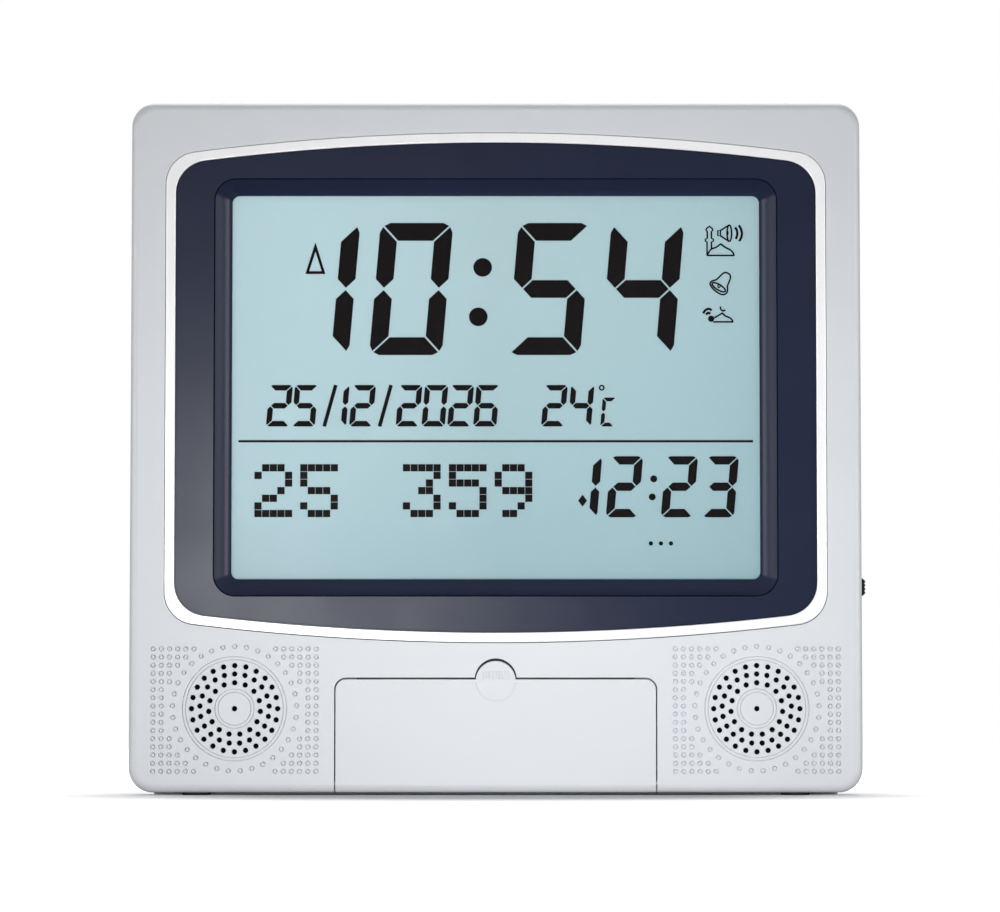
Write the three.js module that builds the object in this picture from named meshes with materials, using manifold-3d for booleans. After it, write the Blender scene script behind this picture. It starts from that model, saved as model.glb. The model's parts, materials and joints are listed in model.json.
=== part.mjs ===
// Azan clock: a flat wall and table clock with a large liquid crystal display in a dark
// bezel, two speakers behind drilled grilles and a keypad behind a drop-down door.
// Lengths are in millimetres. +X points right as seen from the front, -Y points to the
// front and +Z points up. The origin is the middle of the surface that the feet stand on.
import * as THREE from 'three';
import { mergeVertices } from 'three/addons/utils/BufferGeometryUtils.js';
import Module from 'manifold-3d';

// Case
const CASE_DEPTH = 36;
const CASE_SIDE_MARGIN = 12.25;
const CASE_TOP_MARGIN = 10.7;
const CASE_CORNER_RADIUS = 7.8;
const CASE_EDGE_RADIUS = 3;
const CASE_WALL = 2.2;
const FRONT_SHELL_DEPTH = 22;
const FOOT_HEIGHT = 1;
const FOOT_RADIUS = 5;
const FOOT_SIDE_INSET = 23;
const FIT_GAP = 0.3;
const OVERRUN = 1;

// Display
const WINDOW_WIDTH = 183.8;
const WINDOW_HEIGHT = 133.5;
const WINDOW_CORNER_RADIUS = 2.6;
const DISPLAY_SIDE_BORDER = 22.85;
const DISPLAY_END_BORDER = 22;
const TRIM_TOP_ARCH_RADIUS = 820;
const TRIM_BOTTOM_ARCH_RADIUS = 880;
const TRIM_CORNER_RADIUS = 12;
const TRIM_BAND = 3.15;
const TRIM_PROUD = 0.4;
const TRIM_EDGE_RADIUS = 0.8;
const WELL_DEPTH = 3;
const BEZEL_SINK = 0.1;
const BEZEL_WALL = 1.8;
const RECESS_BORDER = 5.7;
const RECESS_CORNER_RADIUS = 7.3;
const RECESS_SLOPE_DEPTH = 4.2;
const WINDOW_LIP = 1.4;
const LENS_THICKNESS = 1.2;
const LENS_BORDER = 5;
const GLASS_THICKNESS = 1.1;
const GLASS_BORDER = 4;
const CONTACT_LEDGE = 4.5;
const INK_THICKNESS = 0.15;
const HOLDER_WALL = 1.5;
const HOLDER_RIM = 10.7;
const HOLDER_BORDER_INSIDE = 4;

// Circuit boards
const BOARD_THICKNESS = 1.6;
const BOARD_POST_HEIGHT = 1.6;
const MAIN_BOARD_HEIGHT = 44;
const MAIN_BOARD_SIDE_MARGIN = 3;
const ZEBRA_THICKNESS = 3.2;
const CHIP_SIZE = 14;
const CHIP_HEIGHT = 1.8;
const CAPACITOR_RADIUS = 3.2;
const CAPACITOR_HEIGHT = 8;
const QUARTZ_RADIUS = 1.5;
const QUARTZ_LENGTH = 8;
const WIRE_RADIUS = 0.6;
const TWIN_LEAD_SPREAD_SHARE = 0.8;

// Speakers and grilles
const SPEAKER_RADIUS = 18.4;
const SPEAKER_DEPTH = 12.3;
const SPEAKER_SHEET = 1.3;
const SPEAKER_BASKET_SHARE = 0.6;
const SPEAKER_SIDE_INSET = 36.7;
const SPEAKER_HEIGHT = 28.9;
const SPEAKER_TOP_MARGIN = 4.5;
const SPEAKER_SEAT_WALL = 1.2;
const SPEAKER_SEAT_DEPTH = 4.5;
const GRILLE_HOLE_RADIUS = 0.87;
const GRILLE_RING_SHARES = [0.81, 0.652, 0.487];
const GRILLE_RING_COUNTS = [24, 21, 15];
const GRILLE_HOLE_SIDES = 6;

// Keypad door and keypad
const DOOR_SIDE_INSET = 70.95;
const DOOR_TOP_MARGIN = 13.4;
const DOOR_CORNER_RADIUS = 3.65;
const DOOR_THICKNESS = 2;
const DOOR_LIP_DEPTH = 4;
const DOOR_GAP = 0.4;
const DOOR_TAB_RADIUS = 6.93;
const DOOR_NOTCH_GAP = 0.34;
const DOOR_NOTCH_RISE = 0.6;
const DOOR_NOTCH_DEPTH = 5;
const DOOR_HINGE_INSET = 2.8;
const DOOR_HINGE_HEIGHT = 3.2;
const DOOR_LUG_RADIUS = 1.6;
const DOOR_LUG_LENGTH = 6;
const DOOR_PIN_RADIUS = 0.9;
const DOOR_PIN_LENGTH = 1.5;
const DOOR_SWING_DEPTH = 6.6;
const LATCH_WIDTH = 8;
const LATCH_THICKNESS = 1.6;
const LATCH_LENGTH = 3.8;
const LATCH_DROP = 0.8;
const CATCH_SHEET = 0.6;
const CATCH_LENGTH = 5.4;
const KEYPAD_POCKET_DEPTH = 11;
const KEYPAD_PANEL = 2;
const BUTTON_WIDTH = 9;
const BUTTON_HEIGHT = 5.5;
const BUTTON_CORNER_RADIUS = 1.5;
const BUTTON_PROUD = 2.2;
const BUTTON_FLANGE = 1;
const BUTTON_FLANGE_SHEET = 0.8;
const BUTTON_STEM_RADIUS = 1.5;
const BUTTON_STEM_LENGTH = 1.9;
const BUTTON_TRAVEL = 1;
const BUTTON_PITCH_Z = 13;
const BUTTON_COLUMNS = 4;
const BUTTON_ROWS = 2;
const TACT_SIZE = 6;
const TACT_HEIGHT = 3.5;
const TACT_PLUNGER_RADIUS = 1.7;
const TACT_PLUNGER_HEIGHT = 0.8;
const TACT_CLEARANCE = 0.1;
const KEYPAD_SIDE_MARGIN = 12.05;
const KEYPAD_BOARD_MARGIN = 8;
const KEYPAD_POST_RADIUS = 2.6;

// Battery compartment
const BATTERY_RADIUS = 7.15;
const BATTERY_LENGTH = 50;
const BATTERY_NUB_RADIUS = 2.7;
const BATTERY_NUB_LENGTH = 1;
const BATTERY_COUNT = 3;
const BATTERY_PITCH = 14.8;
const BATTERY_END_SPACE = 4.2;
const BATTERY_BOX_WALL = 1.4;
const BATTERY_BOX_RISE = 12.3;
const BATTERY_DOOR_SHEET = 2;
const BATTERY_DOOR_LAP = 2;
const BATTERY_DOOR_CORNER_RADIUS = 2;
const BATTERY_TAB_WIDTH = 14;
const BATTERY_SCOOP_HEIGHT = 6;
const CONTACT_SHEET = 0.4;
const CONTACT_SIZE = 9;
const CONTACT_SPRING_RADIUS = 3.1;

// Rear stand and wall hanging
const LEG_WIDTH = 36;
const LEG_THICKNESS = 2.6;
const LEG_FOOT_HEIGHT = 4;
const LEG_HINGE_RISE = 2.7;
const LEG_BARREL_RADIUS = 1.6;
const LEG_PIN_RADIUS = 1;
const LEG_PIN_LENGTH = 2;
const LEG_CORNER_RADIUS = 3.5;
const LEG_RECESS_DEPTH = 4.2;
const LEG_RECESS_WALL = 1.6;
const LEG_NOTCH_RADIUS = 9;
const LEG_NOTCH_DEPTH = 5.4;
const KEYHOLE_SIDE_INSET = 47;
const KEYHOLE_TOP_INSET = 30;
const KEYHOLE_ENTRY_RADIUS = 4.8;
const KEYHOLE_SLOT_RADIUS = 2.5;
const KEYHOLE_SLOT_LENGTH = 9;
const KEYHOLE_POCKET_DEPTH = 5;
const KEYHOLE_POCKET_MARGIN = 1.2;

// Side switch
const KNOB_LENGTH = 6;
const KNOB_WIDTH = 3.2;
const KNOB_PROUD = 1.7;
const KNOB_TRAVEL = 2.5;
const KNOB_HEIGHT = 71.2;
const KNOB_FRONT_INSET = 10;
const KNOB_FLANGE = 1;
const KNOB_FLANGE_SHEET = 1;
const SWITCH_WIDTH = 7;
const SWITCH_DEPTH = 4;
const SWITCH_EAR = 3;

// Screws
const SCREW_RADIUS = 1.25;
const SCREW_HEAD_RADIUS = 2.6;
const SCREW_HEAD_HEIGHT = 1.8;
const SCREW_HOLE_GAP = 0.15;
const SCREW_BITE = 11;
const SMALL_SCREW_BITE = 1.8;
const BOSS_RADIUS = 3.4;
const BOSS_CORNER_INSET = 7.6;
const BOSS_SINK = 7;

// Display artwork, as shares of the window's width and height
const ARTWORK_SLANT = 0.0865;
const SEGMENT_ROUND_SHARE = 0.55;
const TIME_ROW = {
  heightShare: 0.3468, widthShare: 0.1382, strokeShare: 0.134, jointShare: 0.0125, middleShare: 0.2602,
};
const DATE_ROW = {
  heightShare: 0.1086, widthShare: 0.0443, strokeShare: 0.1325, jointShare: 0.022, middleShare: -0.0461,
};
const UNIT_ROW = {
  heightShare: 0.0757, widthShare: 0.0257, strokeShare: 0.131, jointShare: 0.03, middleShare: -0.0625,
};
const PRAYER_ROW = {
  heightShare: 0.1596, widthShare: 0.0612, strokeShare: 0.137, jointShare: 0.019, middleShare: -0.258,
};
const TIME_DIGIT_SHARES = { 1: [-0.4064], 0: [-0.2296], 5: [0.0328], 4: [0.2095] };
const DATE_DIGIT_SHARES = {
  2: [-0.4325, -0.2748, -0.1866, -0.0887, 0.0892],
  5: [-0.3841],
  1: [-0.3248],
  0: [-0.1376],
  6: [-0.0397],
  4: [0.1398],
};
const UNIT_DIGIT_SHARES = { C: [0.2006] };
const PRAYER_DIGIT_SHARES = { 1: [0.1358], 2: [0.2133, 0.3175], 3: [0.395] };
const TIME_COLON = { xShare: -0.029, spreadShare: 0.065, radiusShare: 0.0244 };
const PRAYER_COLON = { xShare: 0.298, spreadShare: 0.0236, radiusShare: 0.009 };
const DEGREE_RING = { xShare: 0.2012, zShare: 0.001, radiusShare: 0.0077, boreShare: 0.0037 };
const SLASH_SHARES = [-0.3145, -0.2095];
const SLASH_STROKE_SHARE = 0.007;
const SLASH_LEAN = 0.276;
const RULE_LINE = { leftShare: -0.488, rightShare: 0.488, zShare: -0.1391, thicknessShare: 0.0058 };
const MATRIX_LEFT_SHARES = [-0.4576, -0.371, -0.1763, -0.0892, -0.0025];
const MATRIX_TOP_SHARE = -0.1985;
const MATRIX_PITCH_SHARE = 0.01447;
const MATRIX_DOT_SHARE = 0.94;
const MATRIX_DIGITS = [
  ['.###.', '#...#', '....#', '...#.', '.##..', '#....', '#####'],
  ['#####', '#....', '#....', '.###.', '....#', '#...#', '.###.'],
  ['#####', '....#', '...#.', '..##.', '....#', '#...#', '.###.'],
  ['#####', '#....', '####.', '....#', '....#', '#...#', '.###.'],
  ['.###.', '#...#', '#...#', '.####', '....#', '...#.', '.##..'],
];
const DIGIT_SEGMENTS = {
  0: 'abcdef', 1: 'bc', 2: 'abged', 3: 'abgcd', 4: 'fgbc', 5: 'afgcd', 6: 'afgedc', C: 'afed',
};

// Sizes, planes and centres that follow from the sizes above
const TRIM_WIDTH = WINDOW_WIDTH + 2 * DISPLAY_SIDE_BORDER;
const TRIM_HEIGHT = WINDOW_HEIGHT + 2 * DISPLAY_END_BORDER;
const LOWER_BAND_HEIGHT = SPEAKER_HEIGHT + SPEAKER_RADIUS + SPEAKER_TOP_MARGIN;
const CASE_WIDTH = TRIM_WIDTH + 2 * CASE_SIDE_MARGIN;
const CASE_HEIGHT = LOWER_BAND_HEIGHT + TRIM_HEIGHT + CASE_TOP_MARGIN;
const DOOR_WIDTH = CASE_WIDTH - 2 * DOOR_SIDE_INSET;
const DOOR_HEIGHT = LOWER_BAND_HEIGHT - DOOR_TOP_MARGIN;
const BUTTON_PITCH_X = (DOOR_WIDTH - 2 * KEYPAD_SIDE_MARGIN) / BUTTON_COLUMNS;
const FRONT_Y = -CASE_DEPTH / 2;
const BACK_Y = CASE_DEPTH / 2;
const PARTING_Y = FRONT_Y + FRONT_SHELL_DEPTH;
const FRONT_INSIDE_Y = FRONT_Y + CASE_WALL;
const BACK_INSIDE_Y = BACK_Y - CASE_WALL;
const SIDE_X = CASE_WIDTH / 2;
const BASE_Z = FOOT_HEIGHT;
const TOP_Z = BASE_Z + CASE_HEIGHT;
const CASE_MIDDLE_Z = BASE_Z + CASE_HEIGHT / 2;
const TRIM_TOP_Z = TOP_Z - CASE_TOP_MARGIN;
const TRIM_BOTTOM_Z = BASE_Z + LOWER_BAND_HEIGHT;
const WINDOW_Z = (TRIM_TOP_Z + TRIM_BOTTOM_Z) / 2;
const WELL_FLOOR_Y = FRONT_Y + WELL_DEPTH;
const LEDGE_BACK_Y = WELL_FLOOR_Y + CASE_WALL;
const BEZEL_FRONT_Y = FRONT_Y + BEZEL_SINK;
const BEZEL_BACK_Y = LEDGE_BACK_Y - FIT_GAP;
const RECESS_WIDTH = WINDOW_WIDTH + 2 * RECESS_BORDER;
const RECESS_HEIGHT = WINDOW_HEIGHT + 2 * RECESS_BORDER;
const FUNNEL_WIDTH = RECESS_WIDTH + 2 * BEZEL_WALL;
const FUNNEL_HEIGHT = RECESS_HEIGHT + 2 * BEZEL_WALL;
const LENS_WIDTH = WINDOW_WIDTH + 2 * LENS_BORDER;
const LENS_HEIGHT = WINDOW_HEIGHT + 2 * LENS_BORDER;
const LENS_BACK_Y = BEZEL_BACK_Y + LENS_THICKNESS;
const GLASS_WIDTH = WINDOW_WIDTH + 2 * GLASS_BORDER;
const GLASS_HEIGHT = WINDOW_HEIGHT + 2 * GLASS_BORDER;
const GLASS_FRONT_Y = LENS_BACK_Y + 2 * INK_THICKNESS;
const INK_FRONT_Y = GLASS_FRONT_Y - INK_THICKNESS;
const INK_ROOT_Y = GLASS_FRONT_Y + INK_THICKNESS;
const GLASS_JOINT_Y = GLASS_FRONT_Y + GLASS_THICKNESS;
const GLASS_BACK_Y = GLASS_JOINT_Y + GLASS_THICKNESS;
const HOLDER_BACK_Y = GLASS_BACK_Y + HOLDER_WALL;
const HOLDER_WIDTH = LENS_WIDTH + 2 * (FIT_GAP + HOLDER_RIM);
const HOLDER_HEIGHT = LENS_HEIGHT + 2 * (FIT_GAP + HOLDER_RIM);
const GLASS_BASE_Z = WINDOW_Z - GLASS_HEIGHT / 2;
const BOARD_FRONT_Y = HOLDER_BACK_Y + BOARD_POST_HEIGHT;
const BOARD_BACK_Y = BOARD_FRONT_Y + BOARD_THICKNESS;
const BOARD_BASE_Z = GLASS_BASE_Z - CONTACT_LEDGE;
const BOARD_TOP_Z = BOARD_BASE_Z + MAIN_BOARD_HEIGHT;
const BOARD_HALF_WIDTH = LENS_WIDTH / 2 - MAIN_BOARD_SIDE_MARGIN;
const ZEBRA_HALF_WIDTH = BOARD_HALF_WIDTH - 3 * SCREW_HEAD_RADIUS;
const SPEAKER_X = SIDE_X - SPEAKER_SIDE_INSET;
const SPEAKER_Z = BASE_Z + SPEAKER_HEIGHT;
const DOOR_TOP_Z = BASE_Z + DOOR_HEIGHT;
const DOOR_INSIDE_Y = FRONT_Y + DOOR_THICKNESS;
const HINGE_Y = FRONT_Y + DOOR_HINGE_INSET;
const HINGE_Z = BASE_Z + DOOR_HINGE_HEIGHT;
const POCKET_HALF_WIDTH = DOOR_WIDTH / 2 + DOOR_GAP;
const POCKET_TOP_Z = DOOR_TOP_Z + DOOR_GAP;
const POCKET_FLOOR_Z = BASE_Z + CASE_WALL;
const PANEL_FRONT_Y = FRONT_Y + KEYPAD_POCKET_DEPTH;
const PANEL_BACK_Y = PANEL_FRONT_Y + KEYPAD_PANEL;
const NOTCH_RADIUS = DOOR_TAB_RADIUS + DOOR_NOTCH_GAP;
const NOTCH_Z = DOOR_TOP_Z + DOOR_NOTCH_RISE;
const KEYPAD_Z = (POCKET_FLOOR_Z + POCKET_TOP_Z) / 2;
const FLANGE_FRONT_Y = PANEL_BACK_Y + FIT_GAP;
const FLANGE_BACK_Y = FLANGE_FRONT_Y + BUTTON_FLANGE_SHEET;
const STEM_BACK_Y = FLANGE_BACK_Y + BUTTON_STEM_LENGTH;
const PLUNGER_FRONT_Y = STEM_BACK_Y + BUTTON_TRAVEL + TACT_CLEARANCE;
const TACT_FRONT_Y = PLUNGER_FRONT_Y + TACT_PLUNGER_HEIGHT;
const KEYPAD_BOARD_FRONT_Y = TACT_FRONT_Y + TACT_HEIGHT;
const KEYPAD_BOARD_BACK_Y = KEYPAD_BOARD_FRONT_Y + BOARD_THICKNESS;
const KEYPAD_HALF_WIDTH = (BUTTON_COLUMNS - 1) / 2 * BUTTON_PITCH_X + KEYPAD_BOARD_MARGIN;
const KEYPAD_HALF_HEIGHT = (BUTTON_ROWS - 1) / 2 * BUTTON_PITCH_Z + KEYPAD_BOARD_MARGIN;
const LEG_HINGE_Z = BOARD_TOP_Z + LEG_HINGE_RISE;
const LEG_RECESS_TOP_Z = LEG_HINGE_Z + 2 * LEG_BARREL_RADIUS;
const BATTERY_BOX_HALF_WIDTH = BATTERY_LENGTH / 2 + BATTERY_END_SPACE;
const BATTERY_BOX_HALF_HEIGHT = BATTERY_COUNT * BATTERY_PITCH / 2 + FIT_GAP;
const BATTERY_Z = LEG_RECESS_TOP_Z + BATTERY_BOX_RISE + BATTERY_BOX_HALF_HEIGHT;
const BATTERY_DOOR_INSIDE_Y = BACK_Y - BATTERY_DOOR_SHEET;
const BATTERY_Y = BATTERY_DOOR_INSIDE_Y - FIT_GAP - BATTERY_RADIUS;
const BATTERY_FLOOR_Y = BATTERY_Y - BATTERY_RADIUS - FIT_GAP;
const LEG_BASE_Z = BASE_Z + LEG_FOOT_HEIGHT;
const LEG_RECESS_Y = BACK_Y - LEG_RECESS_DEPTH;
const LEG_Y = (LEG_RECESS_Y + BACK_Y) / 2;
const LEG_RECESS_HALF_WIDTH = LEG_WIDTH / 2 + FIT_GAP;
const KNOB_Y = FRONT_Y + KNOB_FRONT_INSET;
const KNOB_Z = BASE_Z + KNOB_HEIGHT;
const SIDE_INSIDE_X = SIDE_X - CASE_WALL;

const wasm = await Module();
wasm.setup();

// Turns a closed geometry into a solid that can be joined and cut.
function solid(geometry) {
  const bare = geometry.clone();
  bare.deleteAttribute('normal');
  bare.deleteAttribute('uv');
  const merged = mergeVertices(bare);
  const vertProperties = new Float32Array(merged.attributes.position.array);
  const triVerts = new Uint32Array(merged.index.array);
  return new wasm.Manifold(new wasm.Mesh({ numProp: 3, vertProperties, triVerts }));
}

// The solids fused into one.
function join(solids) {
  return solids.reduce((whole, piece) => whole.add(piece));
}

// The whole less every piece.
function cut(whole, pieces) {
  return pieces.reduce((rest, piece) => rest.subtract(piece), whole);
}

// A box between two places on each axis.
function block(x0, x1, y0, y1, z0, z1) {
  const box = new THREE.BoxGeometry(x1 - x0, y1 - y0, z1 - z0);
  return solid(box.translate((x0 + x1) / 2, (y0 + y1) / 2, (z0 + z1) / 2));
}

// A round rod along Y, from y0 to y1.
function rodY(x, z, radius, y0, y1, sides = 16) {
  const rod = new THREE.CylinderGeometry(radius, radius, y1 - y0, sides);
  return solid(rod.translate(x, (y0 + y1) / 2, z));
}

// A round rod along X, from x0 to x1.
function rodX(y, z, radius, x0, x1, sides = 12) {
  const rod = new THREE.CylinderGeometry(radius, radius, x1 - x0, sides);
  return solid(rod.rotateZ(Math.PI / 2).translate((x0 + x1) / 2, y, z));
}

// A round rod along Z, from z0 to z1.
function rodZ(x, y, radius, z0, z1, sides = 16) {
  const rod = new THREE.CylinderGeometry(radius, radius, z1 - z0, sides);
  return solid(rod.rotateX(Math.PI / 2).translate(x, y, (z0 + z1) / 2));
}

// A body turned about a line along Y. Each profile point is a radius and a place on Y, and
// the profile runs from the body's back to its front.
function turned(x, z, profile, segments = 18) {
  const points = profile.map(([radius, y]) => new THREE.Vector2(radius, y)).reverse();
  return solid(new THREE.LatheGeometry(points, segments).translate(x, 0, z));
}

// A flat plate with an outline in X and Z, from y0 to y1.
function plate(points, y0, y1, holes = []) {
  const shape = new THREE.Shape(points);
  shape.holes = holes.map((hole) => new THREE.Path(hole));
  const geometry = new THREE.ExtrudeGeometry(shape, { depth: y1 - y0, bevelEnabled: false });
  return solid(geometry.rotateX(Math.PI / 2).translate(0, y1, 0));
}

// The same plate with its front and back edges rounded.
function softPlate(points, y0, y1, radius, steps, holes = []) {
  const shape = new THREE.Shape(points);
  shape.holes = holes.map((hole) => new THREE.Path(hole));
  const geometry = new THREE.ExtrudeGeometry(shape, {
    depth: y1 - y0 - 2 * radius,
    bevelThickness: radius,
    bevelSize: radius,
    bevelOffset: -radius,
    bevelSegments: steps,
  });
  return solid(geometry.rotateX(Math.PI / 2).translate(0, y1 - radius, 0));
}

// Points of an arc about (x, z), with angles counted from +X towards +Z.
function arc(x, z, radius, from, to, steps) {
  const points = [];
  for (let i = 0; i <= steps; i += 1) {
    const angle = from + (to - from) * i / steps;
    points.push(new THREE.Vector2(x + radius * Math.cos(angle), z + radius * Math.sin(angle)));
  }
  return points;
}

// A rectangle with round corners about (x, z).
function roundedPoints(width, height, radius, x, z, steps = 5) {
  const dx = width / 2 - radius;
  const dz = height / 2 - radius;
  const quarter = Math.PI / 2;
  return [
    ...arc(x + dx, z + dz, radius, 0, quarter, steps),
    ...arc(x - dx, z + dz, radius, quarter, 2 * quarter, steps),
    ...arc(x - dx, z - dz, radius, 2 * quarter, 3 * quarter, steps),
    ...arc(x + dx, z - dz, radius, 3 * quarter, 4 * quarter, steps),
  ];
}

// The display's outline with its arched top and bottom, drawn in by an inset.
function archedPoints(inset, archSteps = 8, cornerSteps = 5) {
  const cornerX = TRIM_WIDTH / 2 - TRIM_CORNER_RADIUS;
  const cornerRadius = TRIM_CORNER_RADIUS - inset;
  const side = (archRadius) => {
    const reach = archRadius - TRIM_CORNER_RADIUS;
    const rise = Math.sqrt(reach ** 2 - cornerX ** 2);
    return { rise, lean: Math.atan2(cornerX, rise), radius: archRadius - inset };
  };
  const top = side(TRIM_TOP_ARCH_RADIUS);
  const bottom = side(TRIM_BOTTOM_ARCH_RADIUS);
  const topZ = TRIM_TOP_Z - TRIM_TOP_ARCH_RADIUS;
  const bottomZ = TRIM_BOTTOM_Z + TRIM_BOTTOM_ARCH_RADIUS;
  const up = Math.PI / 2;
  const points = [
    ...arc(cornerX, topZ + top.rise, cornerRadius, 0, up - top.lean, cornerSteps),
    ...arc(0, topZ, top.radius, up - top.lean, up + top.lean, archSteps).slice(1, -1),
    ...arc(-cornerX, topZ + top.rise, cornerRadius, up + top.lean, 2 * up, cornerSteps),
    ...arc(-cornerX, bottomZ - bottom.rise, cornerRadius, 2 * up, 3 * up - bottom.lean, cornerSteps),
    ...arc(0, bottomZ, bottom.radius, -up - bottom.lean, -up + bottom.lean, archSteps).slice(1, -1),
    ...arc(cornerX, bottomZ - bottom.rise, cornerRadius, -up + bottom.lean, 0, cornerSteps),
  ];
  return points;
}

// A solid between two outlines with as many points each, one at y0 and one at y1.
function loft(front, y0, back, y1) {
  const count = front.length;
  const position = [];
  front.forEach((point) => position.push(point.x, y0, point.y));
  back.forEach((point) => position.push(point.x, y1, point.y));
  const index = [];
  for (let i = 0; i < count; i += 1) {
    const next = (i + 1) % count;
    index.push(i, count + next, next, i, count + i, count + next);
  }
  THREE.ShapeUtils.triangulateShape(front, []).forEach(([a, b, c]) => index.push(a, b, c));
  THREE.ShapeUtils.triangulateShape(back, []).forEach(([a, b, c]) => {
    index.push(count + a, count + c, count + b);
  });
  const geometry = new THREE.BufferGeometry();
  geometry.setAttribute('position', new THREE.Float32BufferAttribute(position, 3));
  geometry.setIndex(index);
  return solid(geometry);
}

// A tube along a run of points.
function tube(points, radius, stepsPerPoint = 2) {
  const path = new THREE.CatmullRomCurve3(points.map((point) => new THREE.Vector3(...point)));
  const section = new THREE.Shape(arc(0, 0, radius, 0, 2 * Math.PI, 6).slice(1));
  const steps = stepsPerPoint * points.length;
  return solid(new THREE.ExtrudeGeometry(section, { steps, bevelEnabled: false, extrudePath: path }));
}

const part = new THREE.Group();

// Adds one named piece to the clock.
function place(name, piece, material) {
  const { vertProperties, triVerts } = piece.getMesh();
  const geometry = new THREE.BufferGeometry();
  geometry.setAttribute('position', new THREE.BufferAttribute(new Float32Array(vertProperties), 3));
  geometry.setIndex(new THREE.BufferAttribute(new Uint32Array(triVerts), 1));
  geometry.computeVertexNormals();
  const mesh = new THREE.Mesh(geometry, material);
  mesh.name = name;
  part.add(mesh);
}

// A plain finish.
function material(color, roughness, metalness = 0) {
  return new THREE.MeshStandardMaterial({ color, roughness, metalness });
}

const SILVER_PLASTIC = () => material(0xdde1e6, 0.45);
const WHITE_GLOSS = () => material(0xf8f9fa, 0.12);
const NAVY_PLASTIC = () => material(0x2e3446, 0.5);
const CLEAR_PLASTIC = () => {
  const clear = material(0xeef4f5, 0.05);
  clear.transparent = true;
  clear.opacity = 0.2;
  return clear;
};
const DISPLAY_GLASS = () => material(0xaccbd0, 0.35);
const BLACK_PLASTIC = () => material(0x17181a, 0.5);
const GREY_PLASTIC = () => material(0xb9bec4, 0.5);
const BLACK_RUBBER = () => material(0x2a2b2e, 0.85);
const BOARD_GREEN = () => material(0x1d5a3a, 0.5);
const STEEL = () => material(0xb5b8bb, 0.35, 1);
const CONE_PAPER = () => material(0x24262a, 0.8);
const CELL_JACKET = () => material(0x33506e, 0.35);
const WIRE_JACKET = () => material(0x8c1f1f, 0.5);

// The places of the four case screws, one in each corner.
const bossPlaces = [];
for (const side of [-1, 1]) {
  bossPlaces.push([side * (SIDE_X - BOSS_CORNER_INSET), TOP_Z - BOSS_CORNER_INSET]);
  bossPlaces.push([side * (SIDE_X - BOSS_CORNER_INSET), BASE_Z + BOSS_CORNER_INSET]);
}

// The places of the small screws that hold the display's frame to the ledge.
const holderScrewX = LENS_WIDTH / 2 + FIT_GAP + HOLDER_RIM / 2;
const holderScrewPlaces = [];
for (const side of [-1, 1]) {
  for (const rise of [-1, 1]) {
    holderScrewPlaces.push([side * holderScrewX, WINDOW_Z + rise * WINDOW_HEIGHT / 2]);
  }
}

// The places of the buttons, row by row from the top left.
const buttonPlaces = [];
for (let row = 0; row < BUTTON_ROWS; row += 1) {
  for (let column = 0; column < BUTTON_COLUMNS; column += 1) {
    const x = (column - (BUTTON_COLUMNS - 1) / 2) * BUTTON_PITCH_X;
    const z = KEYPAD_Z + ((BUTTON_ROWS - 1) / 2 - row) * BUTTON_PITCH_Z;
    buttonPlaces.push([x, z]);
  }
}
const keypadPostPlaces = [-1, 1].map((side) => [side * KEYPAD_HALF_WIDTH, KEYPAD_Z]);

const caseOutline = roundedPoints(CASE_WIDTH, CASE_HEIGHT, CASE_CORNER_RADIUS, 0, CASE_MIDDLE_Z);
const caseBlank = softPlate(caseOutline, FRONT_Y, BACK_Y, CASE_EDGE_RADIUS, 4);
const caseCavity = plate(
  roundedPoints(
    CASE_WIDTH - 2 * CASE_WALL, CASE_HEIGHT - 2 * CASE_WALL, CASE_CORNER_RADIUS - CASE_WALL,
    0, CASE_MIDDLE_Z,
  ),
  FRONT_INSIDE_Y, BACK_INSIDE_Y,
);

// A slice of space between two planes, wider and taller than the case.
function slab(y0, y1) {
  return block(-CASE_WIDTH, CASE_WIDTH, y0, y1, -CASE_HEIGHT, 2 * CASE_HEIGHT);
}

// Holes of one grille, in rings about the speaker's axis.
function grilleHoles(x) {
  const y0 = FRONT_Y - OVERRUN;
  const y1 = FRONT_INSIDE_Y + OVERRUN;
  const holes = [rodY(x, SPEAKER_Z, GRILLE_HOLE_RADIUS, y0, y1, GRILLE_HOLE_SIDES)];
  GRILLE_RING_SHARES.forEach((share, ring) => {
    const count = GRILLE_RING_COUNTS[ring];
    for (let i = 0; i < count; i += 1) {
      const angle = 2 * Math.PI * i / count;
      const dx = SPEAKER_RADIUS * share * Math.sin(angle);
      const dz = SPEAKER_RADIUS * share * Math.cos(angle);
      holes.push(rodY(x + dx, SPEAKER_Z + dz, GRILLE_HOLE_RADIUS, y0, y1, GRILLE_HOLE_SIDES));
    }
  });
  return holes;
}

// Low round wall that a speaker drops into.
function speakerSeat(x) {
  const inner = SPEAKER_RADIUS + FIT_GAP;
  const outer = inner + SPEAKER_SEAT_WALL;
  const back = FRONT_INSIDE_Y + SPEAKER_SEAT_DEPTH;
  const wall = rodY(x, SPEAKER_Z, outer, FRONT_INSIDE_Y - OVERRUN, back, 20);
  return wall.subtract(rodY(x, SPEAKER_Z, inner, FRONT_INSIDE_Y, back + OVERRUN, 20));
}

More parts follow.
